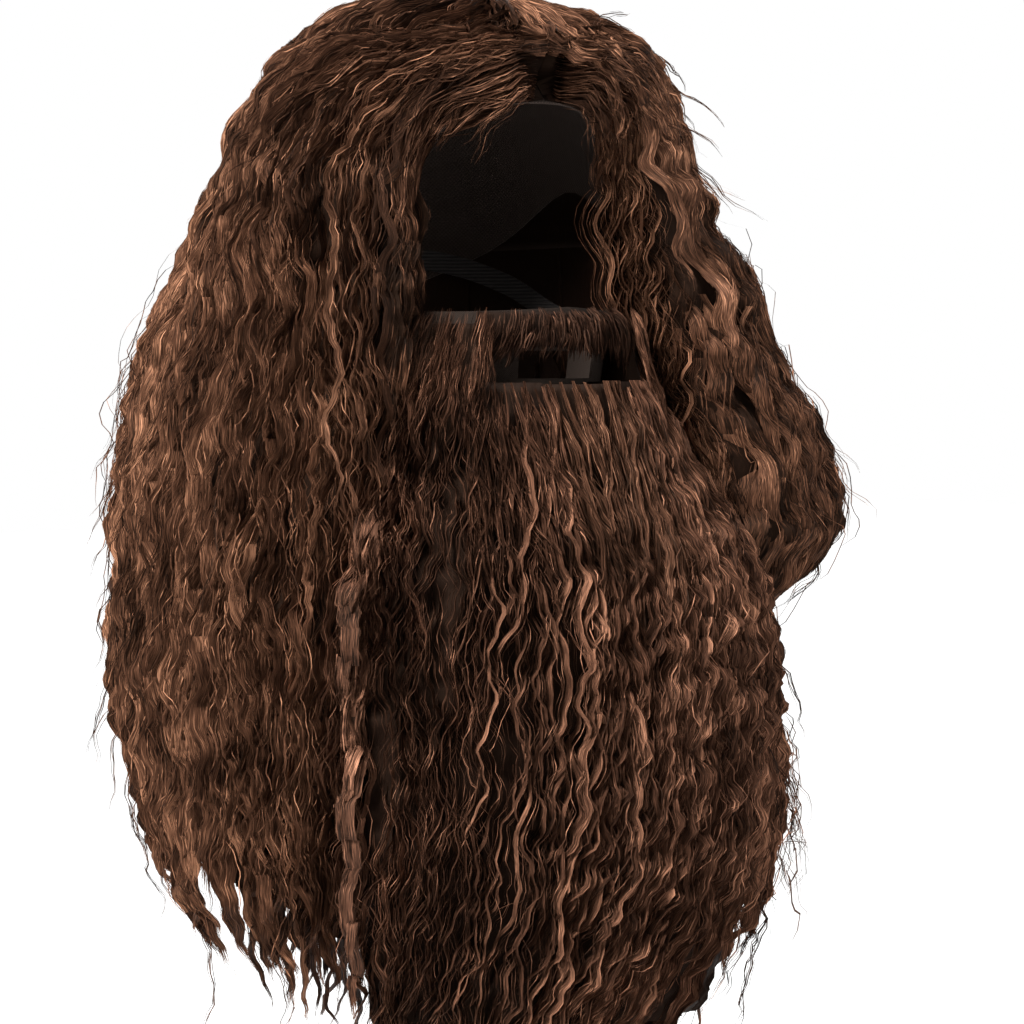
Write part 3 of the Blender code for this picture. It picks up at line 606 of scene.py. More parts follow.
fibre = {
    "strandPitch": 0.00045,  # metres from one fine streak to the next
    "streakLength": 0.013,
    "streakShare": 2.4,
    "bandShare": 0.7,
    "patchShare": 0.9,
    "patchScale": 24.0,
    "bump": 0.35,
    "bumpHeight": 0.0006,
    "roughness": 0.52,
    "roughnessRange": 0.22,
    "gloss": 0.08,
    "glossTint": (1.0, 0.60, 0.40),
}
cloth = {"radius": 0.085, "grainScale": 900.0, "grain": 0.3, "bumpHeight": 0.0005, "roughness": 0.85, "gloss": 0.15}
# dark, middle and light colour of each finish: the fibres' own tone, with the light colour as a painted highlight for
# the sheen
hairColoursAndSheen = {
    "crimped_hair": ((0.0030, 0.0013, 0.0008), (0.052, 0.0225, 0.0125), (0.265, 0.125, 0.070)),
    "crown_hair": ((0.0026, 0.0012, 0.0008), (0.040, 0.0175, 0.0100), (0.225, 0.106, 0.060)),
    "beard_hair": ((0.0028, 0.0013, 0.0009), (0.050, 0.0220, 0.0130), (0.255, 0.119, 0.070)),
    "short_hair": ((0.0020, 0.0010, 0.0008), (0.020, 0.0092, 0.0058), (0.095, 0.044, 0.026)),
    "smooth_hair": ((0.0050, 0.0024, 0.0015), (0.045, 0.0200, 0.0115), (0.180, 0.086, 0.050)),
}


def newMaterial(name):
    made = bpy.data.materials.new(name)
    made.use_nodes = True
    tree = made.node_tree
    shader = tree.nodes["Principled BSDF"]
    return made, Nodes(tree), shader


def hairMaterial(name, colours, frays=False):
    # fine streaks run along every lock; tone is stored on each lock and strand. The brightest streaks reach the light
    # colour, a painted highlight for the hair's sheen on top of the fibres' own tone
    made, nodes, shader = newMaterial(name)
    dark, middle, light = ((*colour, 1) for colour in colours)
    marks = nodes.add("ShaderNodeUVMap", {"uv_map": "UVMap"})
    parts = nodes.add("ShaderNodeSeparateXYZ", None, {0: marks})
    u = parts.out("X") / fibre["strandPitch"]
    v = parts.out("Y") / fibre["streakLength"]
    fine = nodes.add("ShaderNodeCombineXYZ", None, {"X": u, "Y": v})
    coarse = nodes.add("ShaderNodeCombineXYZ", None, {"X": u * 0.18, "Y": v * 0.4, "Z": 3.0})
    streak = nodes.add("ShaderNodeTexNoise", None, {"Vector": fine, "Scale": 1.0, "Detail": 2.0, "Roughness": 0.6})
    band = nodes.add("ShaderNodeTexNoise", None, {"Vector": coarse, "Scale": 1.0, "Detail": 1.0})
    tone = nodes.add("ShaderNodeAttribute", {"attribute_name": "tone"}).out("Fac")
    where = nodes.add("ShaderNodeTexCoord").out("Object")
    patch = nodes.add("ShaderNodeTexNoise", None, {"Vector": where, "Scale": fibre["patchScale"], "Detail": 2.0})
    depth = tone + fibre["streakShare"] * (streak - 0.5) + fibre["bandShare"] * (band - 0.5)
    depth = depth + fibre["patchShare"] * (patch - 0.5)
    colour = nodes.blend(nodes.ramp(depth, 0.0, 0.55), dark, middle)
    # the top of this blend is a painted highlight: the sheen painted into the colour
    colour = nodes.blend(nodes.ramp(depth, 0.55, 1.1), colour, light)
    nodes.tree.links.new(colour.out("Result").socket, shader.inputs["Base Color"])
    rough = fibre["roughness"] + fibre["roughnessRange"] * streak
    nodes.tree.links.new(rough.socket, shader.inputs["Roughness"])
    raised = {"Strength": fibre["bump"], "Distance": fibre["bumpHeight"], "Height": streak}
    bump = nodes.add("ShaderNodeBump", None, raised)
    nodes.tree.links.new(bump.socket, shader.inputs["Normal"])
    shader.inputs["Specular IOR Level"].default_value = fibre["gloss"]
    shader.inputs["Specular Tint"].default_value = (*fibre["glossTint"], 1)
    if frays:
        # the edges and tips of a lock's body part into single strands
        across = nodes.add("ShaderNodeAttribute", {"attribute_name": "across"}).out("Fac")
        fromMiddle = nodes.maths("ABSOLUTE", across)
        reach = nodes.add("ShaderNodeAttribute", {"attribute_name": "reach"}).out("Fac")
        cover = (1.0 - 0.9 * nodes.ramp(fromMiddle, 0.35, 1.0)) * (1.0 - 0.8 * nodes.ramp(reach, 0.7, 1.0))
        shown = nodes.maths("GREATER_THAN", 0.6 * streak + 0.7 * cover, 0.55)
        nodes.tree.links.new(shown.socket, shader.inputs["Alpha"])
    return made


def clothMaterial(name, dark, light, pitch, rise, stripes=False):
    # small knit or ribs from the object's own coordinates
    made, nodes, shader = newMaterial(name)
    where = nodes.add("ShaderNodeTexCoord").out("Object")
    parts = nodes.add("ShaderNodeSeparateXYZ", None, {0: where})
    turn = nodes.maths("ARCTAN2", parts.out("Y"), parts.out("X")) * cloth["radius"]
    rows = nodes.maths("SINE", parts.out("Z") * (2 * math.pi / pitch))
    if stripes:
        weave = 0.5 + 0.5 * rows
    else:
        columns = nodes.maths("SINE", turn * (2 * math.pi / pitch))
        weave = 0.5 + 0.5 * rows * columns
    grain = nodes.add("ShaderNodeTexNoise", None, {"Vector": where, "Scale": cloth["grainScale"], "Detail": 2.0})
    share = (1 - cloth["grain"]) * weave + cloth["grain"] * grain
    colour = nodes.blend(share, (*dark, 1), (*light, 1))
    nodes.tree.links.new(colour.out("Result").socket, shader.inputs["Base Color"])
    raised = {"Strength": rise, "Distance": cloth["bumpHeight"], "Height": weave}
    bump = nodes.add("ShaderNodeBump", None, raised)
    nodes.tree.links.new(bump.socket, shader.inputs["Normal"])
    shader.inputs["Roughness"].default_value = cloth["roughness"]
    shader.inputs["Specular IOR Level"].default_value = cloth["gloss"]
    return made


hairMaterials = {}
for name, colours in hairColoursAndSheen.items():
    title = name.replace("_", " ")
    hairMaterials[name] = (hairMaterial(title, colours), hairMaterial(title + " frayed", colours, frays=True))
clothMaterials = {
    "wig_cap": clothMaterial("cap net", (0.006, 0.004, 0.003), (0.030, 0.019, 0.014), 0.0022, 0.8),
    "beard_backing": clothMaterial("backing cloth", (0.005, 0.003, 0.002), (0.020, 0.012, 0.008), 0.0010, 0.5),
    "beard_strap": clothMaterial("elastic", (0.006, 0.005, 0.005), (0.026, 0.022, 0.020), 0.0020, 0.8, stripes=True),
}
for node, finish in clothMaterials.items():
    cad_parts[node].data.materials.clear()
    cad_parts[node].data.materials.append(finish)
print("finishes ready")


# The wig. Tight crimps on its right side, longer waves on its left.

wigGrowth = {
    "Strand width": 0.00045,
    "Spread": 1.25,
    "Fullness": 1.0,
    "Frizz height": 0.0058,
    "Frizz length": 0.026,
    "Body arch": 0.14,
    "Seed": 4,
}
tightLook = {
    "spacing": 0.0038,
    "crimpLength": 0.0160,
    "crimpHeight": 0.0009,
    "waveLength": 0.052,
    "waveHeight": 0.0030,
    "waveStart": 0.02,
    "beat": 17.0,
    "beatSpread": 0.9,
    "lean": 0.013,
    "flare": 0.0,
    "girth": 0.0085,
    "tipGirth": 0.25,
    "tipPower": 3.0,
    "dive": 0.010,
    "rootShare": 0.22,
    "tones": (0.22, 0.72),
    "frizz": 0.75,
    "strands": 8,
    "body": 1,
}
looseLook = {
    **tightLook,
    "spacing": 0.0048,
    "crimpLength": 0.030,
    "crimpHeight": 0.0030,
    "waveLength": 0.11,
    "waveHeight": 0.005,
    "beat": 11.0,
    "girth": 0.0088,
    "tones": (-0.06, 0.44),
    "strands": 11,
}
underLook = {"girth": 0.010, "strands": 5, "tones": (0.0, 0.35), "dive": 0.0, "spacing": 0.006}
endLook = {**underLook, "strands": 2, "spacing": 0.008}
looseEnd = {"body": 0, "lean": 0.02, "spacing": 0.0055}
wispLook = {**looseEnd, "strands": 5, "girth": 0.0035, "frizz": 0.8, "flare": 0.020, "tones": (0.1, 0.5)}
strayLook = {**looseEnd, "strands": 1, "frizz": 2.2, "dive": 0.004, "tones": (0.15, 0.5)}
wig = {
    "panels": (
        # name, first column, last column, locks, tightness
        ("front_locks_right", -1.0, -2 / 3, 76, "tight"),
        ("side_locks_right", -2 / 3, -1 / 3, 80, "tight"),
        ("back_locks_right", -1 / 3, 0.0, 38, "tight"),
        ("back_locks_left", 0.0, 1 / 3, 29, "loose"),
        ("side_locks_left", 1 / 3, 2 / 3, 46, "loose"),
        ("front_locks_left", 2 / 3, 1.0, 75, "loose"),
    ),
    # mean and spread of how far a lock's tip leaves its root's column
    "sweeps": {
        "front_locks_right": (0.0, 0.04),
        "side_locks_right": (0.01, 0.025),
        "front_locks_left": (0.0, 0.02),
    },
    "plainSweep": (0.0, 0.012),
    "roots": (0.75, 1.62),
    "reach": {"tight": (0.40, 0.62), "loose": (0.5, 0.85)},
    "raggedness": 0.13,
    "block": {"start": 0.96, "end": 1.78, "frontRightEnd": 1.84, "depth": 0.011, "tone": 0.06},
    "pointedLocks": {"count": 16, "start": 1.5, "end": 2.0, "strands": 6},
    "strays": {"starts": (0.9, 1.6), "reach": 0.4},
    "strayCounts": {"right": 30, "left": 60},
    "wisps": {"count": 18, "starts": (1.0, 1.75), "reach": 0.38},
    "underLocks": {"count": 10, "starts": (1.25, 1.45), "end": 1.95},
    "endLocks": {"count": 20, "end": 1.97, "rise": 0.14},
    "wallLocks": {"starts": (0.62, 1.6), "reach": 0.55},
    "wallCounts": {"right": 24, "left": 50},
    # the left wall locks get high tones: painted light over the shade inside the opening
    "wallTones": {"right": (-0.1, 0.35), "left": (0.3, 0.8)},
}
# darker lowers every block's tone: painted shade under the locks
block = {"inset": 0.0004, "flute": 0.0016, "pitch": 0.007, "wave": 0.034, "sway": 0.0006, "darker": 0.45}


def addBlock(guides, form, firsts, seconds, depth, tone, flute=block["flute"]):
    # the block of hair under the locks, with fine flutes that wave like the locks; its tone is lowered by darker,
    # painted shade for the hollow under the locks
    across, along = np.meshgrid(firsts, seconds)
    outer, facing = form(across, along, 1.0)
    wide = np.linalg.norm(np.diff(outer, axis=1), axis=2).mean(0)
    down = np.linalg.norm(np.diff(outer, axis=0), axis=2).mean(1)
    acrossMetres, alongMetres = np.meshgrid(np.r_[0, np.cumsum(wide)], np.r_[0, np.cumsum(down)])
    swing = 0.7 * np.sin(2 * math.pi * alongMetres / block["wave"] + 9 * across)
    ridges = flute * np.sin(2 * math.pi * acrossMetres / block["pitch"] + swing)
    outer = outer + facing * (ridges - depth)[..., None]
    inner = form(across, along, 0.0)[0] + facing * block["inset"]
    guides.shell(outer, inner, facing, acrossMetres + block["sway"] * swing, alongMetres, tone - block["darker"])


def spread(count):
    # one uneven share of a row for each of its places
    for place in range(count):
        yield (place + chance.uniform(0, 1)) / count


def wallSpots(side):
    # the side of the hair at the edge of the opening, from the inside at 0 to the outside at 1
    def form(depth, fall, _):
        step = 0.01
        depth = np.clip(depth, step, 1 - step)
        places, _ = wigSpots(side, fall, depth)
        down = wigSpots(side, fall + step, depth)[0] - wigSpots(side, fall - step, depth)[0]
        out = wigSpots(side, fall, depth + step)[0] - wigSpots(side, fall, depth - step)[0]
        facing = np.cross(down, out)
        facing *= np.sign(facing @ np.array((-side, -1.0, -0.5)))[..., None]
        return places, facing / (np.linalg.norm(facing, axis=-1)[..., None] + 1e-9)

    return form


def inside(form):
    # the inner side of the same hair
    def turned(first, second, _):
        places, facing = form(first, second, 0.0)
        return places, -facing

    return turned


def between(form, depth):
    # the same form at one depth inside the hair
    return lambda first, second, _: form(first, second, depth)


def addWallLocks(guides, side, look, count, starts, reach):
    # over the side of the hair at the edge of the opening
    for _ in range(count):
        depth = chance.uniform(0.05, 1)
        start = chance.uniform(*starts)
        end = min(start + reach * chance.uniform(0.65, 1.35), 1.93)
        path = np.linspace(0, 1, 60)
        depths = np.clip(depth + chance.normal(0.02, 0.12) * path, 0.05, 1)
        falls = start + (end - start) * path
        lift = chance.uniform(-0.002, 0.003)
        addLock(guides, wallSpots(side), depths, falls, look, 3 * depth, lift=lift, dive=0.008)


def addUnderLocks(guides, form, first, last, look, count, starts, end):
    # wide flat locks over the inner side of a block
    for share in spread(count):
        column = first + (last - first) * share
        start = chance.uniform(*starts)
        path = np.linspace(0, 1, 40)
        falls = start + (end - 0.03 * end * chance.uniform(0, 1) - start) * path
        addLock(guides, inside(form), column + 0 * path, falls, look, column, lift=0.001, **underLook)


def addEndLocks(guides, form, first, last, look, count, start, end):
    # locks at all depths that hang from the lower end of a block
    for share in spread(count):
        column = first + (last - first) * share
        level = between(form, chance.uniform(0.1, 0.9))
        path = np.linspace(0, 1, 40)
        falls = start + (end * (1 - 0.035 * chance.uniform(0, 1)) - start) * path
        addLock(guides, level, column + 0 * path, falls, look, column, **endLook)


def addWisps(guides, form, first, last, look, count, starts, reach):
    # thin locks that leave the outline and end in points
    for share in spread(count):
        start = starts[0] + (starts[1] - starts[0]) * share
        path = np.linspace(0, 1, 40)
        column = first + (last - first) * chance.uniform(0, 1) + chance.normal(0, 0.02) * path
        falls = start + reach * chance.uniform(0.6, 1.2) * path
        addLock(guides, form, column, falls, look, column[0], lift=chance.uniform(0.0, 0.003), **wispLook)


def addStrays(guides, form, first, last, look, count, starts, reach):
    # single strands that stand off the rest
    for _ in range(count):
        start = chance.uniform(*starts)
        path = np.linspace(0, 1, 40)
        column = chance.uniform(first, last) + chance.normal(0, 0.02) * path
        falls = start + reach * chance.uniform(0.6, 1.2) * path
        addLock(guides, form, column, falls, look, column[0], lift=chance.uniform(0.003, 0.012), **strayLook)


def finishPiece(guides, node, finish, growth=wigGrowth):
    # grows the hair that replaces one node of the frame
    piece = growHair(node + "_strands", guides, growth, hairMaterials[finish])
    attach(piece, "root")
    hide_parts(node)


def wigPanel(name, first, last, count, tightness):
    look = tightLook if tightness == "tight" else looseLook
    hand = "right" if first < 0 else "left"
    guides = Guides()
    blockEnd = wig["block"]["frontRightEnd" if name == "front_locks_right" else "end"]
    falls = np.linspace(wig["block"]["start"], blockEnd, 60)
    addBlock(guides, wigSpots, np.linspace(first, last, 41), falls, wig["block"]["depth"], wig["block"]["tone"])
    for share in spread(count):
        if name.startswith("front"):
            # more of them at the edge of the opening
            share = share**1.5 if first < 0 else 1 - (1 - share) ** 1.5
        column = first + (last - first) * share
        # roots lie anywhere from the crown down; the lowest locks end ragged
        start = chance.uniform(*wig["roots"])
        reach = chance.uniform(*wig["reach"][tightness])
        end = min(start + reach, 2 - wig["raggedness"] * chance.uniform(0, 1) ** 1.5)
        path = np.linspace(0, 1, 60)
        drift = chance.normal(*wig["sweeps"].get(name, wig["plainSweep"]))
        falls = start + (end - start) * path
        addLock(guides, wigSpots, column + drift * path, falls, look, column, lift=chance.uniform(-0.002, 0.003))
    if name == "front_locks_right":
        # long pointed locks at the lower edge
        pointed = wig["pointedLocks"]
        for share in spread(pointed["count"]):
            column = first + (last - first) * share
            path = np.linspace(0, 1, 50)
            falls = pointed["start"] + (pointed["end"] - 0.04 * chance.uniform(0, 1) - pointed["start"]) * path
            columns = column + chance.normal(0, 0.02) * path
            addLock(guides, wigSpots, columns, falls, look, column, strands=pointed["strands"])
    addStrays(guides, wigSpots, first, last, look, wig["strayCounts"][hand], **wig["strays"])
    addWisps(guides, wigSpots, first, last, look, **wig["wisps"])
    addUnderLocks(guides, wigSpots, first, last, look, **wig["underLocks"])
    ends = wig["endLocks"]
    addEndLocks(guides, wigSpots, first, last, look, ends["count"], blockEnd - ends["rise"], ends["end"])
    if name.startswith("front"):
        side = -1 if first < 0 else 1
        wallLook = {**look, "tones": wig["wallTones"][hand]}
        addWallLocks(guides, side, wallLook, wig["wallCounts"][hand], **wig["wallLocks"])
    finishPiece(guides, name, "crimped_hair")


for panel in wig["panels"]:
    wigPanel(*panel)


# The crown: locks that leave the parting and the pole, and the edge of the opening

crown = {
    "locks": 75,
    "partingEnd": 0.57,
    "look": {"strands": 7, "tones": (0.2, 0.7), "waveStart": 0.08},
    "spacing": {"right": 0.0042, "left": 0.0050},
    "blockDepth": 0.007,
    "blockTone": 0.08,
    "wallLocks": {"count": 34, "starts": (0.58, 0.72), "reach": 0.3},
    # high tones for the left wall locks: painted light over the shade inside the opening
    "leftWallPaintedLight": (0.4, 0.9),
    "wisps": {"count": 10, "starts": (0.35, 0.8), "reach": 0.3},
    "rimLocks": {"count": 20, "depths": (0.05, 0.98)},
    "hairlineLocks": {"count": 9, "depths": (0.05, 0.6), "lift": 0.017},
    "sweptLocks": {"count": 7, "depths": (0.6, 0.98)},
    "rimReach": 0.16,
    "rimGirth": 0.006,
    "tangledLocks": 26,
}
fringeLook = {
    "tones": (0.24, 0.60),
    "frizz": 1.6,
    "girth": 0.0045,
    "dive": 0.002,
    "lean": 0.004,
    "strands": 8,
    "spacing": 0.0055,
}
hairlineLook = {"strands": 6, "body": 0, "girth": 0.005, "frizz": 1.8, "lean": 0.01}
# light tones for the locks swept sideways at the hairline: a painted highlight
sweptHighlightLook = {"tones": (0.55, 0.85), "crimpHeight": 0.0003, "waveHeight": 0.001, "girth": 0.0060, "frizz": 0.5}


def rimStart(depth):
    # the fall at which the opening begins, for one depth in the hair
    drop = opening["hairline"] - depth * opening["spread"]
    fullHeight = head["halfHeight"] + head["wall"]
    return math.degrees(math.acos(1 - (drop + head["wall"]) / fullHeight)) / 90


def addRimLocks(guides, side, look, count, depths, lift=0.009):
    # they follow the edge of the opening from its middle to its side
    for share in spread(count):
        depth = depths[0] + (depths[1] - depths[0]) * share
        path = np.linspace(0, 1, 120)
        falls = rimStart(depth) + 0.0005 + crown["rimReach"] * chance.uniform(0.7, 1.3) * path**2.2
        raised = chance.uniform(0.0, lift)
        addLock(guides, wallSpots(side), depth + 0 * path, falls, look, 3 * depth, lift=raised, dive=0.002)


def crownHalf(side, hand):
    look = {**(tightLook if side < 0 else looseLook), **crown["look"], "spacing": crown["spacing"][hand]}
    guides = Guides()
    columns = side * np.linspace(0.0, 1.0, 61)
    falls = np.r_[0.004, np.linspace(0.04, 1.05, 50)]

    def halfSpots(column, fall, depth):
        places, facing = wigSpots(column, fall, depth)
        places[..., 0] = side * np.maximum(np.abs(places[..., 0]), 0.0003)
        return places, facing

    addBlock(guides, halfSpots, columns[::-side], falls, crown["blockDepth"], crown["blockTone"])
    for share in spread(crown["locks"]):
        away = share**0.78
        # locks leave the parting at the front and the pole at the back, then turn down
        onParting = ease(0.35, 0.75, away)
        upTo = onParting * (crown["partingEnd"] - 0.02)
        start = 0.02 + upTo * chance.uniform(0.05, 1) * (0.35 + 0.65 * away)
        end = chance.uniform(0.95, 1.45)
        path = np.linspace(0, 1, 80)
        falls = start + (end - start) * path**1.15
        begin = away + (0.995 - away) * onParting
        across = begin + (away - begin) * (1 - (1 - np.clip(path * 1.6, 0, 1)) ** 2.2)
        across = side * np.clip(across, 0.004, 0.996)
        lift = chance.uniform(-0.001, 0.003)
        addLock(guides, halfSpots, across, falls, look, side * away, lift=lift, dive=0.003, rootShare=0.08)
    fringe = {**look, **fringeLook}
    wallLook = fringe if side < 0 else {**fringe, "tones": crown["leftWallPaintedLight"]}
    addWallLocks(guides, side, wallLook, **crown["wallLocks"])
    addWisps(guides, halfSpots, side * 0.75, side * 0.99, look, **crown["wisps"])
    addRimLocks(guides, side, {**fringe, "girth": crown["rimGirth"]}, **crown["rimLocks"])
    addRimLocks(guides, side, {**fringe, **hairlineLook}, **crown["hairlineLocks"])
    if side > 0:
        addRimLocks(guides, side, {**look, **sweptHighlightLook}, **crown["sweptLocks"])
    for _ in range(crown["tangledLocks"]):
        # short tangled locks along the hairline
        start = chance.uniform(0.40, 0.575)
        path = np.linspace(0, 1, 40)
        falls = start + chance.uniform(0.15, 0.45) * path
        edge = chance.uniform(0.9, 0.995)
        across = side * (0.997 + (edge - 0.997) * ease(0, 0.7, path))
        addLock(guides, halfSpots, across, falls, fringe, side * edge, lift=chance.uniform(-0.001, 0.004))
    finishPiece(guides, f"crown_hair_{hand}", "crown_hair")


for side, hand in ((-1, "right"), (1, "left")):
    crownHalf(side, hand)
print("wig ready")


# The beard, with a straight tuft below the slit and short hair above it

slit = {"top": 0.1745, "bottom": 0.1895}
tuftHalf = 13.3 / 55
shortHalf = 30 / 55
beardLook = {
    **tightLook,
    "spacing": 0.0040,
    "crimpLength": 0.019,
    "crimpHeight": 0.0010,
    "waveLength": 0.06,
    "waveHeight": 0.0032,
    "beat": 8.0,
    "beatSpread": 1.4,
    "girth": 0.0076,
    "tones": (0.2, 0.66),
    "strands": 8,
}
tuftLook = {
    **beardLook,
    "crimpHeight": 0.0003,
    "waveHeight": 0.0015,
    "girth": 0.0040,
    "tones": (0.12, 0.48),
    "spacing": 0.007,
}
shortLook = {
    **beardLook,
    "spacing": 0.0025,
    "crimpHeight": 0.0006,
    "waveHeight": 0.0008,
    "girth": 0.0026,
    "tones": (0.15, 0.5),
    "frizz": 0.35,
    "body": 0,
    "lean": 0.002,
}
beard = {
    "pieces": (
        # name, first column, last column, locks
        ("beard_right", -1.0, -tuftHalf, 66),
        ("beard_centre", -tuftHalf, tuftHalf, 50),
        ("beard_left", tuftHalf, 1.0, 60),
    ),
    "block": {"end": 0.535, "depth": 0.009, "tone": 0.06},
    "middleTop": 0.082,
    "lengths": (0.16, 0.27),
    "lowerBrighter": 0.2,
    "strays": {"count": 16, "starts": (0.25, 0.45), "reach": 0.13},
    "wisps": {"count": 14, "starts": (0.28, 0.46), "reach": 0.12},
    "underLocks": {"starts": (0.25, 0.36), "end": 0.585},
    "underCounts": {"middle": 7, "side": 13},
    "endLocks": {"start": 0.485, "end": 0.59},
    "endCounts": {"middle": 13, "side": 18},
    "wallLocks": 22,
}
# locks that start near one level: share of the columns, the level and how they leave it, length
straightLocks = {
    "count": 44,
    "columns": (tuftHalf * 0.9, tuftHalf * 0.9 + 0.42),
    "top": slit["bottom"] + 0.001,
    "topPower": 2,
    "lengths": (0.06, 0.11),
    "widen": -0.1,
    "points": 40,
    "lift": (0, 0.004),
}
cheekLocks = {
    "count": 115,
    "columns": (shortHalf * 0.9, 1),
    "top": 0.150,
    "topPower": 1.7,
    "lengths": (0.022, 0.04),
    "widen": 0.1,
    "points": 30,
    "lift": (-0.001, 0.003),
}
tuftLocks = {
    "count": 46,
    "columns": (-tuftHalf, tuftHalf),
    "top": slit["bottom"] + 0.001,
    "topPower": 2.5,
    "lengths": (0.07, 0.12),
    "widen": -0.45,
    "points": 40,
    "lift": (0, 0.005),
}
tuftBlock = {"end": 0.285, "depth": 0.007, "tone": 0.1}
moustacheForm = {"top": 0.151, "volume": 0.014, "locks": 150, "strandWidth": 0.0006}
thinBlock = {"depth": 0.005, "moustacheDepth": 0.004, "tone": 0.0, "flute": 0.0005}


def addLevelLocks(guides, look, side, group):
    for _ in range(group["count"]):
        column = side * chance.uniform(*group["columns"])
        start = group["top"] + 0.05 * chance.uniform(0, 1) ** group["topPower"]
        path = np.linspace(0, 1, group["points"])
        columns = np.clip(column * (1 + group["widen"] * path), -1, 1)
        drops = start + chance.uniform(*group["lengths"]) * path
        lift = chance.uniform(*group["lift"])
        addLock(guides, beardSpots, columns, drops, look, column, lift=lift, dive=0.001)


def beardWall(side):
    # the beard's outer edge beside the wig, from the inside at 0 to the outside at 1
    def form(depth, drop, _):
        places, _ = beardSpots(side, drop, depth)
        bearing = np.degrees(np.arctan2(places[..., 0], -places[..., 1]))
        return places, spots(np.ones_like(bearing), bearing + side * 90, 0 * bearing)

    return form


def addBeardEdge(guides, side):
    addWisps(guides, beardSpots, side * 0.6, side * 0.98, beardLook, **beard["wisps"])
    for depth in spread(beard["wallLocks"]):
        start = chance.uniform(0.19, 0.40)
        path = np.linspace(0, 1, 50)
        depths = np.clip(depth + chance.normal(0.05, 0.12) * path, 0.02, 1)
        drops = start + (min(start + chance.uniform(0.12, 0.2), 0.56) - start) * path
        lift = chance.uniform(-0.001, 0.002)
        addLock(guides, beardWall(side), depths, drops, beardLook, 3 * depth, lift=lift, dive=0.004)


def beardPiece(name, first, last, count):
    guides = Guides()
    middle = name == "beard_centre"
    where = "middle" if middle else "side"
    side = -1 if first < 0 else 1
    top = slit["bottom"] + beard["middleTop"] if middle else slit["bottom"]
    drops = np.linspace(top + 0.002, beard["block"]["end"], 64)
    addBlock(guides, beardSpots, np.linspace(first, last, 31), drops, beard["block"]["depth"], beard["block"]["tone"])
    if not middle:
        cheek = np.sort(side * np.linspace(shortHalf, 1, 16))
        drops = np.linspace(0.160, slit["bottom"] + 0.004, 12)
        addBlock(guides, beardSpots, cheek, drops, thinBlock["depth"], thinBlock["tone"], thinBlock["flute"])
        addLevelLocks(guides, tuftLook, side, straightLocks)
        addLevelLocks(guides, {**shortLook, "spacing": 0.005}, side, cheekLocks)
    for place, share in enumerate(spread(count)):
        if name == "beard_right":
            # more of them at the edge beside the wig
            share = share**1.35
        column = first + (last - first) * share
        highest = 0.165 if abs(column) > 0.56 else slit["bottom"] + 0.004
        if middle:
            highest = slit["bottom"] + 0.07
        low = beardEnd(column) - 0.05 * chance.uniform(0, 1) ** 1.4
        depth = chance.uniform(0, 1) ** (1.5 if middle else 1.3)
        if place % 4 == 0:
            # every fourth one starts at the top
            depth *= 0.1
        start = highest + (low - highest - 0.12) * depth
        end = min(start + chance.uniform(*beard["lengths"]), low)
        path = np.linspace(0, 1, 60)
        columns = np.clip(column + chance.normal(0, 0.05) * path, -0.99, 0.99)
        brighter = beard["lowerBrighter"] * ease(0.3, 0.45, start)
        tones = tuple(tone + brighter for tone in beardLook["tones"])
        drops = start + (end - start) * path
        lift = chance.uniform(-0.002, 0.003)
        addLock(guides, beardSpots, columns, drops, beardLook, column, lift=lift, tones=tones)
    addStrays(guides, beardSpots, first, last, beardLook, **beard["strays"])
    addUnderLocks(guides, beardSpots, first, last, beardLook, beard["underCounts"][where], **beard["underLocks"])
    addEndLocks(guides, beardSpots, first, last, beardLook, beard["endCounts"][where], **beard["endLocks"])
    if not middle:
        addBeardEdge(guides, side)
    finishPiece(guides, name, "beard_hair")


def lipTuft():
    guides = Guides()
    columns = np.linspace(-tuftHalf, tuftHalf, 21)
    drops = np.linspace(slit["bottom"] + 0.003, tuftBlock["end"], 24)
    addBlock(guides, beardSpots, columns, drops, tuftBlock["depth"], tuftBlock["tone"])
    addLevelLocks(guides, tuftLook, 1, tuftLocks)
    finishPiece(guides, "lip_tuft", "smooth_hair")


def moustacheSpots(column, drop, depth):
    # above the slit, swelling towards it
    column, drop, depth = np.broadcast_arrays(np.asarray(column, float), drop, depth)
    bearing = opening["halfAngle"] * column
    share = np.clip((drop - moustacheForm["top"]) / (slit["top"] - moustacheForm["top"]), 0, 1.4)
    swell = 0.3 + 0.6 * np.sin(np.pi / 2 * np.clip(share, 0, 1)) + 0.1 * np.sin(23 * column) * share
    places = spots(jawRadius(bearing, drop) + depth * (moustacheForm["volume"] * swell), bearing, -drop)
    return places, spots(np.ones_like(drop), bearing, 0 * drop)


def moustache():
    guides = Guides()
    columns = np.linspace(-shortHalf, shortHalf, 41)
    drops = np.linspace(0.1535, 0.1725, 12)
    addBlock(
        guides, moustacheSpots, columns, drops, thinBlock["moustacheDepth"], thinBlock["tone"], thinBlock["flute"]
    )
    for _ in range(moustacheForm["locks"]):
        column = chance.uniform(-shortHalf, shortHalf)
        start = 0.1495 + 0.015 * chance.uniform(0, 1) ** 1.3
        past = np.clip((abs(column) - 0.29) / 0.26, 0, 1)
        end = slit["top"] + 0.003 + 0.014 * past + chance.uniform(-0.002, 0.004)
        path = np.linspace(0, 1, 30)
        columns = np.clip(column * (1 + 0.22 * path), -shortHalf * 1.05, shortHalf * 1.05)
        drops = start + (end - start) * path
        lift = chance.uniform(-0.001, 0.002)
        addLock(guides, moustacheSpots, columns, drops, shortLook, column, lift=lift, dive=0.003)
    growth = {**wigGrowth, "Strand width": moustacheForm["strandWidth"]}
    finishPiece(guides, "moustache", "short_hair", growth)


lipTuft()
for part in beard["pieces"]:
    beardPiece(*part)
moustache()
print("beard ready")


# Studio

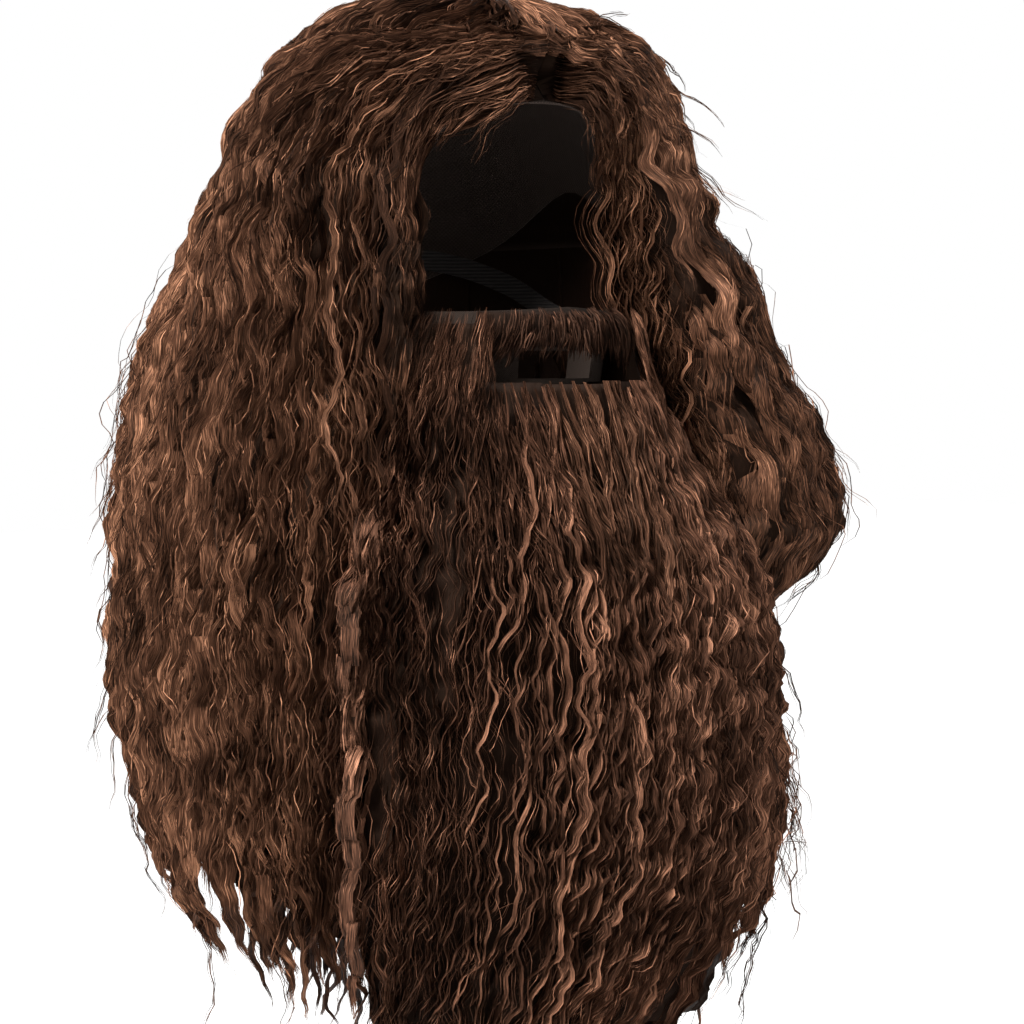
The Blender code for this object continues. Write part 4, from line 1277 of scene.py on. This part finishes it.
studio = {
    "azimuth": -38.0,
    "elevation": 2.5,
    "distance": 2.2,
    "lens": 138.1,
    "aside": 0.031,
    "height": -0.265,
    "lightHeight": -0.28,
    "floorBelow": 0.35,
    "floorHalf": 12.0,
    "lights": (
        # name, azimuth, elevation, distance, size, watts
        ("key", -68, 37, 1.7, 0.6, 96),
        ("fill", 10, 12, 2.2, 1.0, 9),
        ("top", 20, 75, 1.5, 0.5, 26),
        ("back", 165, 30, 2.2, 1.0, 14),
    ),
}


def towards(azimuth, elevation):
    # the direction from the object to a camera or light
    turn = math.radians(azimuth)
    rise = math.radians(elevation)
    return Vector((math.sin(turn) * math.cos(rise), -math.cos(turn) * math.cos(rise), math.sin(rise)))


def placeCamera():
    camera = bpy.data.objects.new("camera", bpy.data.cameras.new("camera"))
    camera.data.lens = studio["lens"]
    camera.data.clip_end = 50
    turn = math.radians(studio["azimuth"])
    aim = Vector((math.cos(turn), math.sin(turn), 0)) * studio["aside"] + Vector((0, 0, studio["height"]))
    back = towards(studio["azimuth"], studio["elevation"])
    camera.location = aim + back * studio["distance"]
    camera.rotation_euler = back.to_track_quat("Z", "Y").to_euler()
    bpy.context.scene.collection.objects.link(camera)
    bpy.context.scene.camera = camera


def areaLight(name, azimuth, elevation, distance, size, power):
    light = bpy.data.lights.new(name, "AREA")
    light.shape = "DISK"
    light.size = size
    light.energy = power
    back = towards(azimuth, elevation)
    made = bpy.data.objects.new(name, light)
    made.location = Vector((0, 0, studio["lightHeight"])) + back * distance
    made.rotation_euler = back.to_track_quat("Z", "Y").to_euler()
    bpy.context.scene.collection.objects.link(made)


def floor():
    mesh = bpy.data.meshes.new("floor")
    far = studio["floorHalf"]
    low = cadBounds[0][2] - studio["floorBelow"]
    mesh.from_pydata([(-far, -far, low), (far, -far, low), (far, far, low), (-far, far, low)], [], [(0, 1, 2, 3)])
    made = bpy.data.objects.new("floor", mesh)
    finish, _, shader = newMaterial("floor")
    shader.inputs["Base Color"].default_value = (0.9, 0.9, 0.9, 1)
    shader.inputs["Roughness"].default_value = 0.9
    shader.inputs["Emission Color"].default_value = (1, 1, 1, 1)
    shader.inputs["Emission Strength"].default_value = 0.25
    mesh.materials.append(finish)
    bpy.context.scene.collection.objects.link(made)


placeCamera()
for light in studio["lights"]:
    areaLight(*light)
floor()
world = bpy.data.worlds.new("studio")
world.use_nodes = True
world.node_tree.nodes["Background"].inputs["Color"].default_value = (1, 1, 1, 1)
world.node_tree.nodes["Background"].inputs["Strength"].default_value = 1.0
bpy.context.scene.world = world
bpy.context.scene.view_settings.view_transform = "Standard"
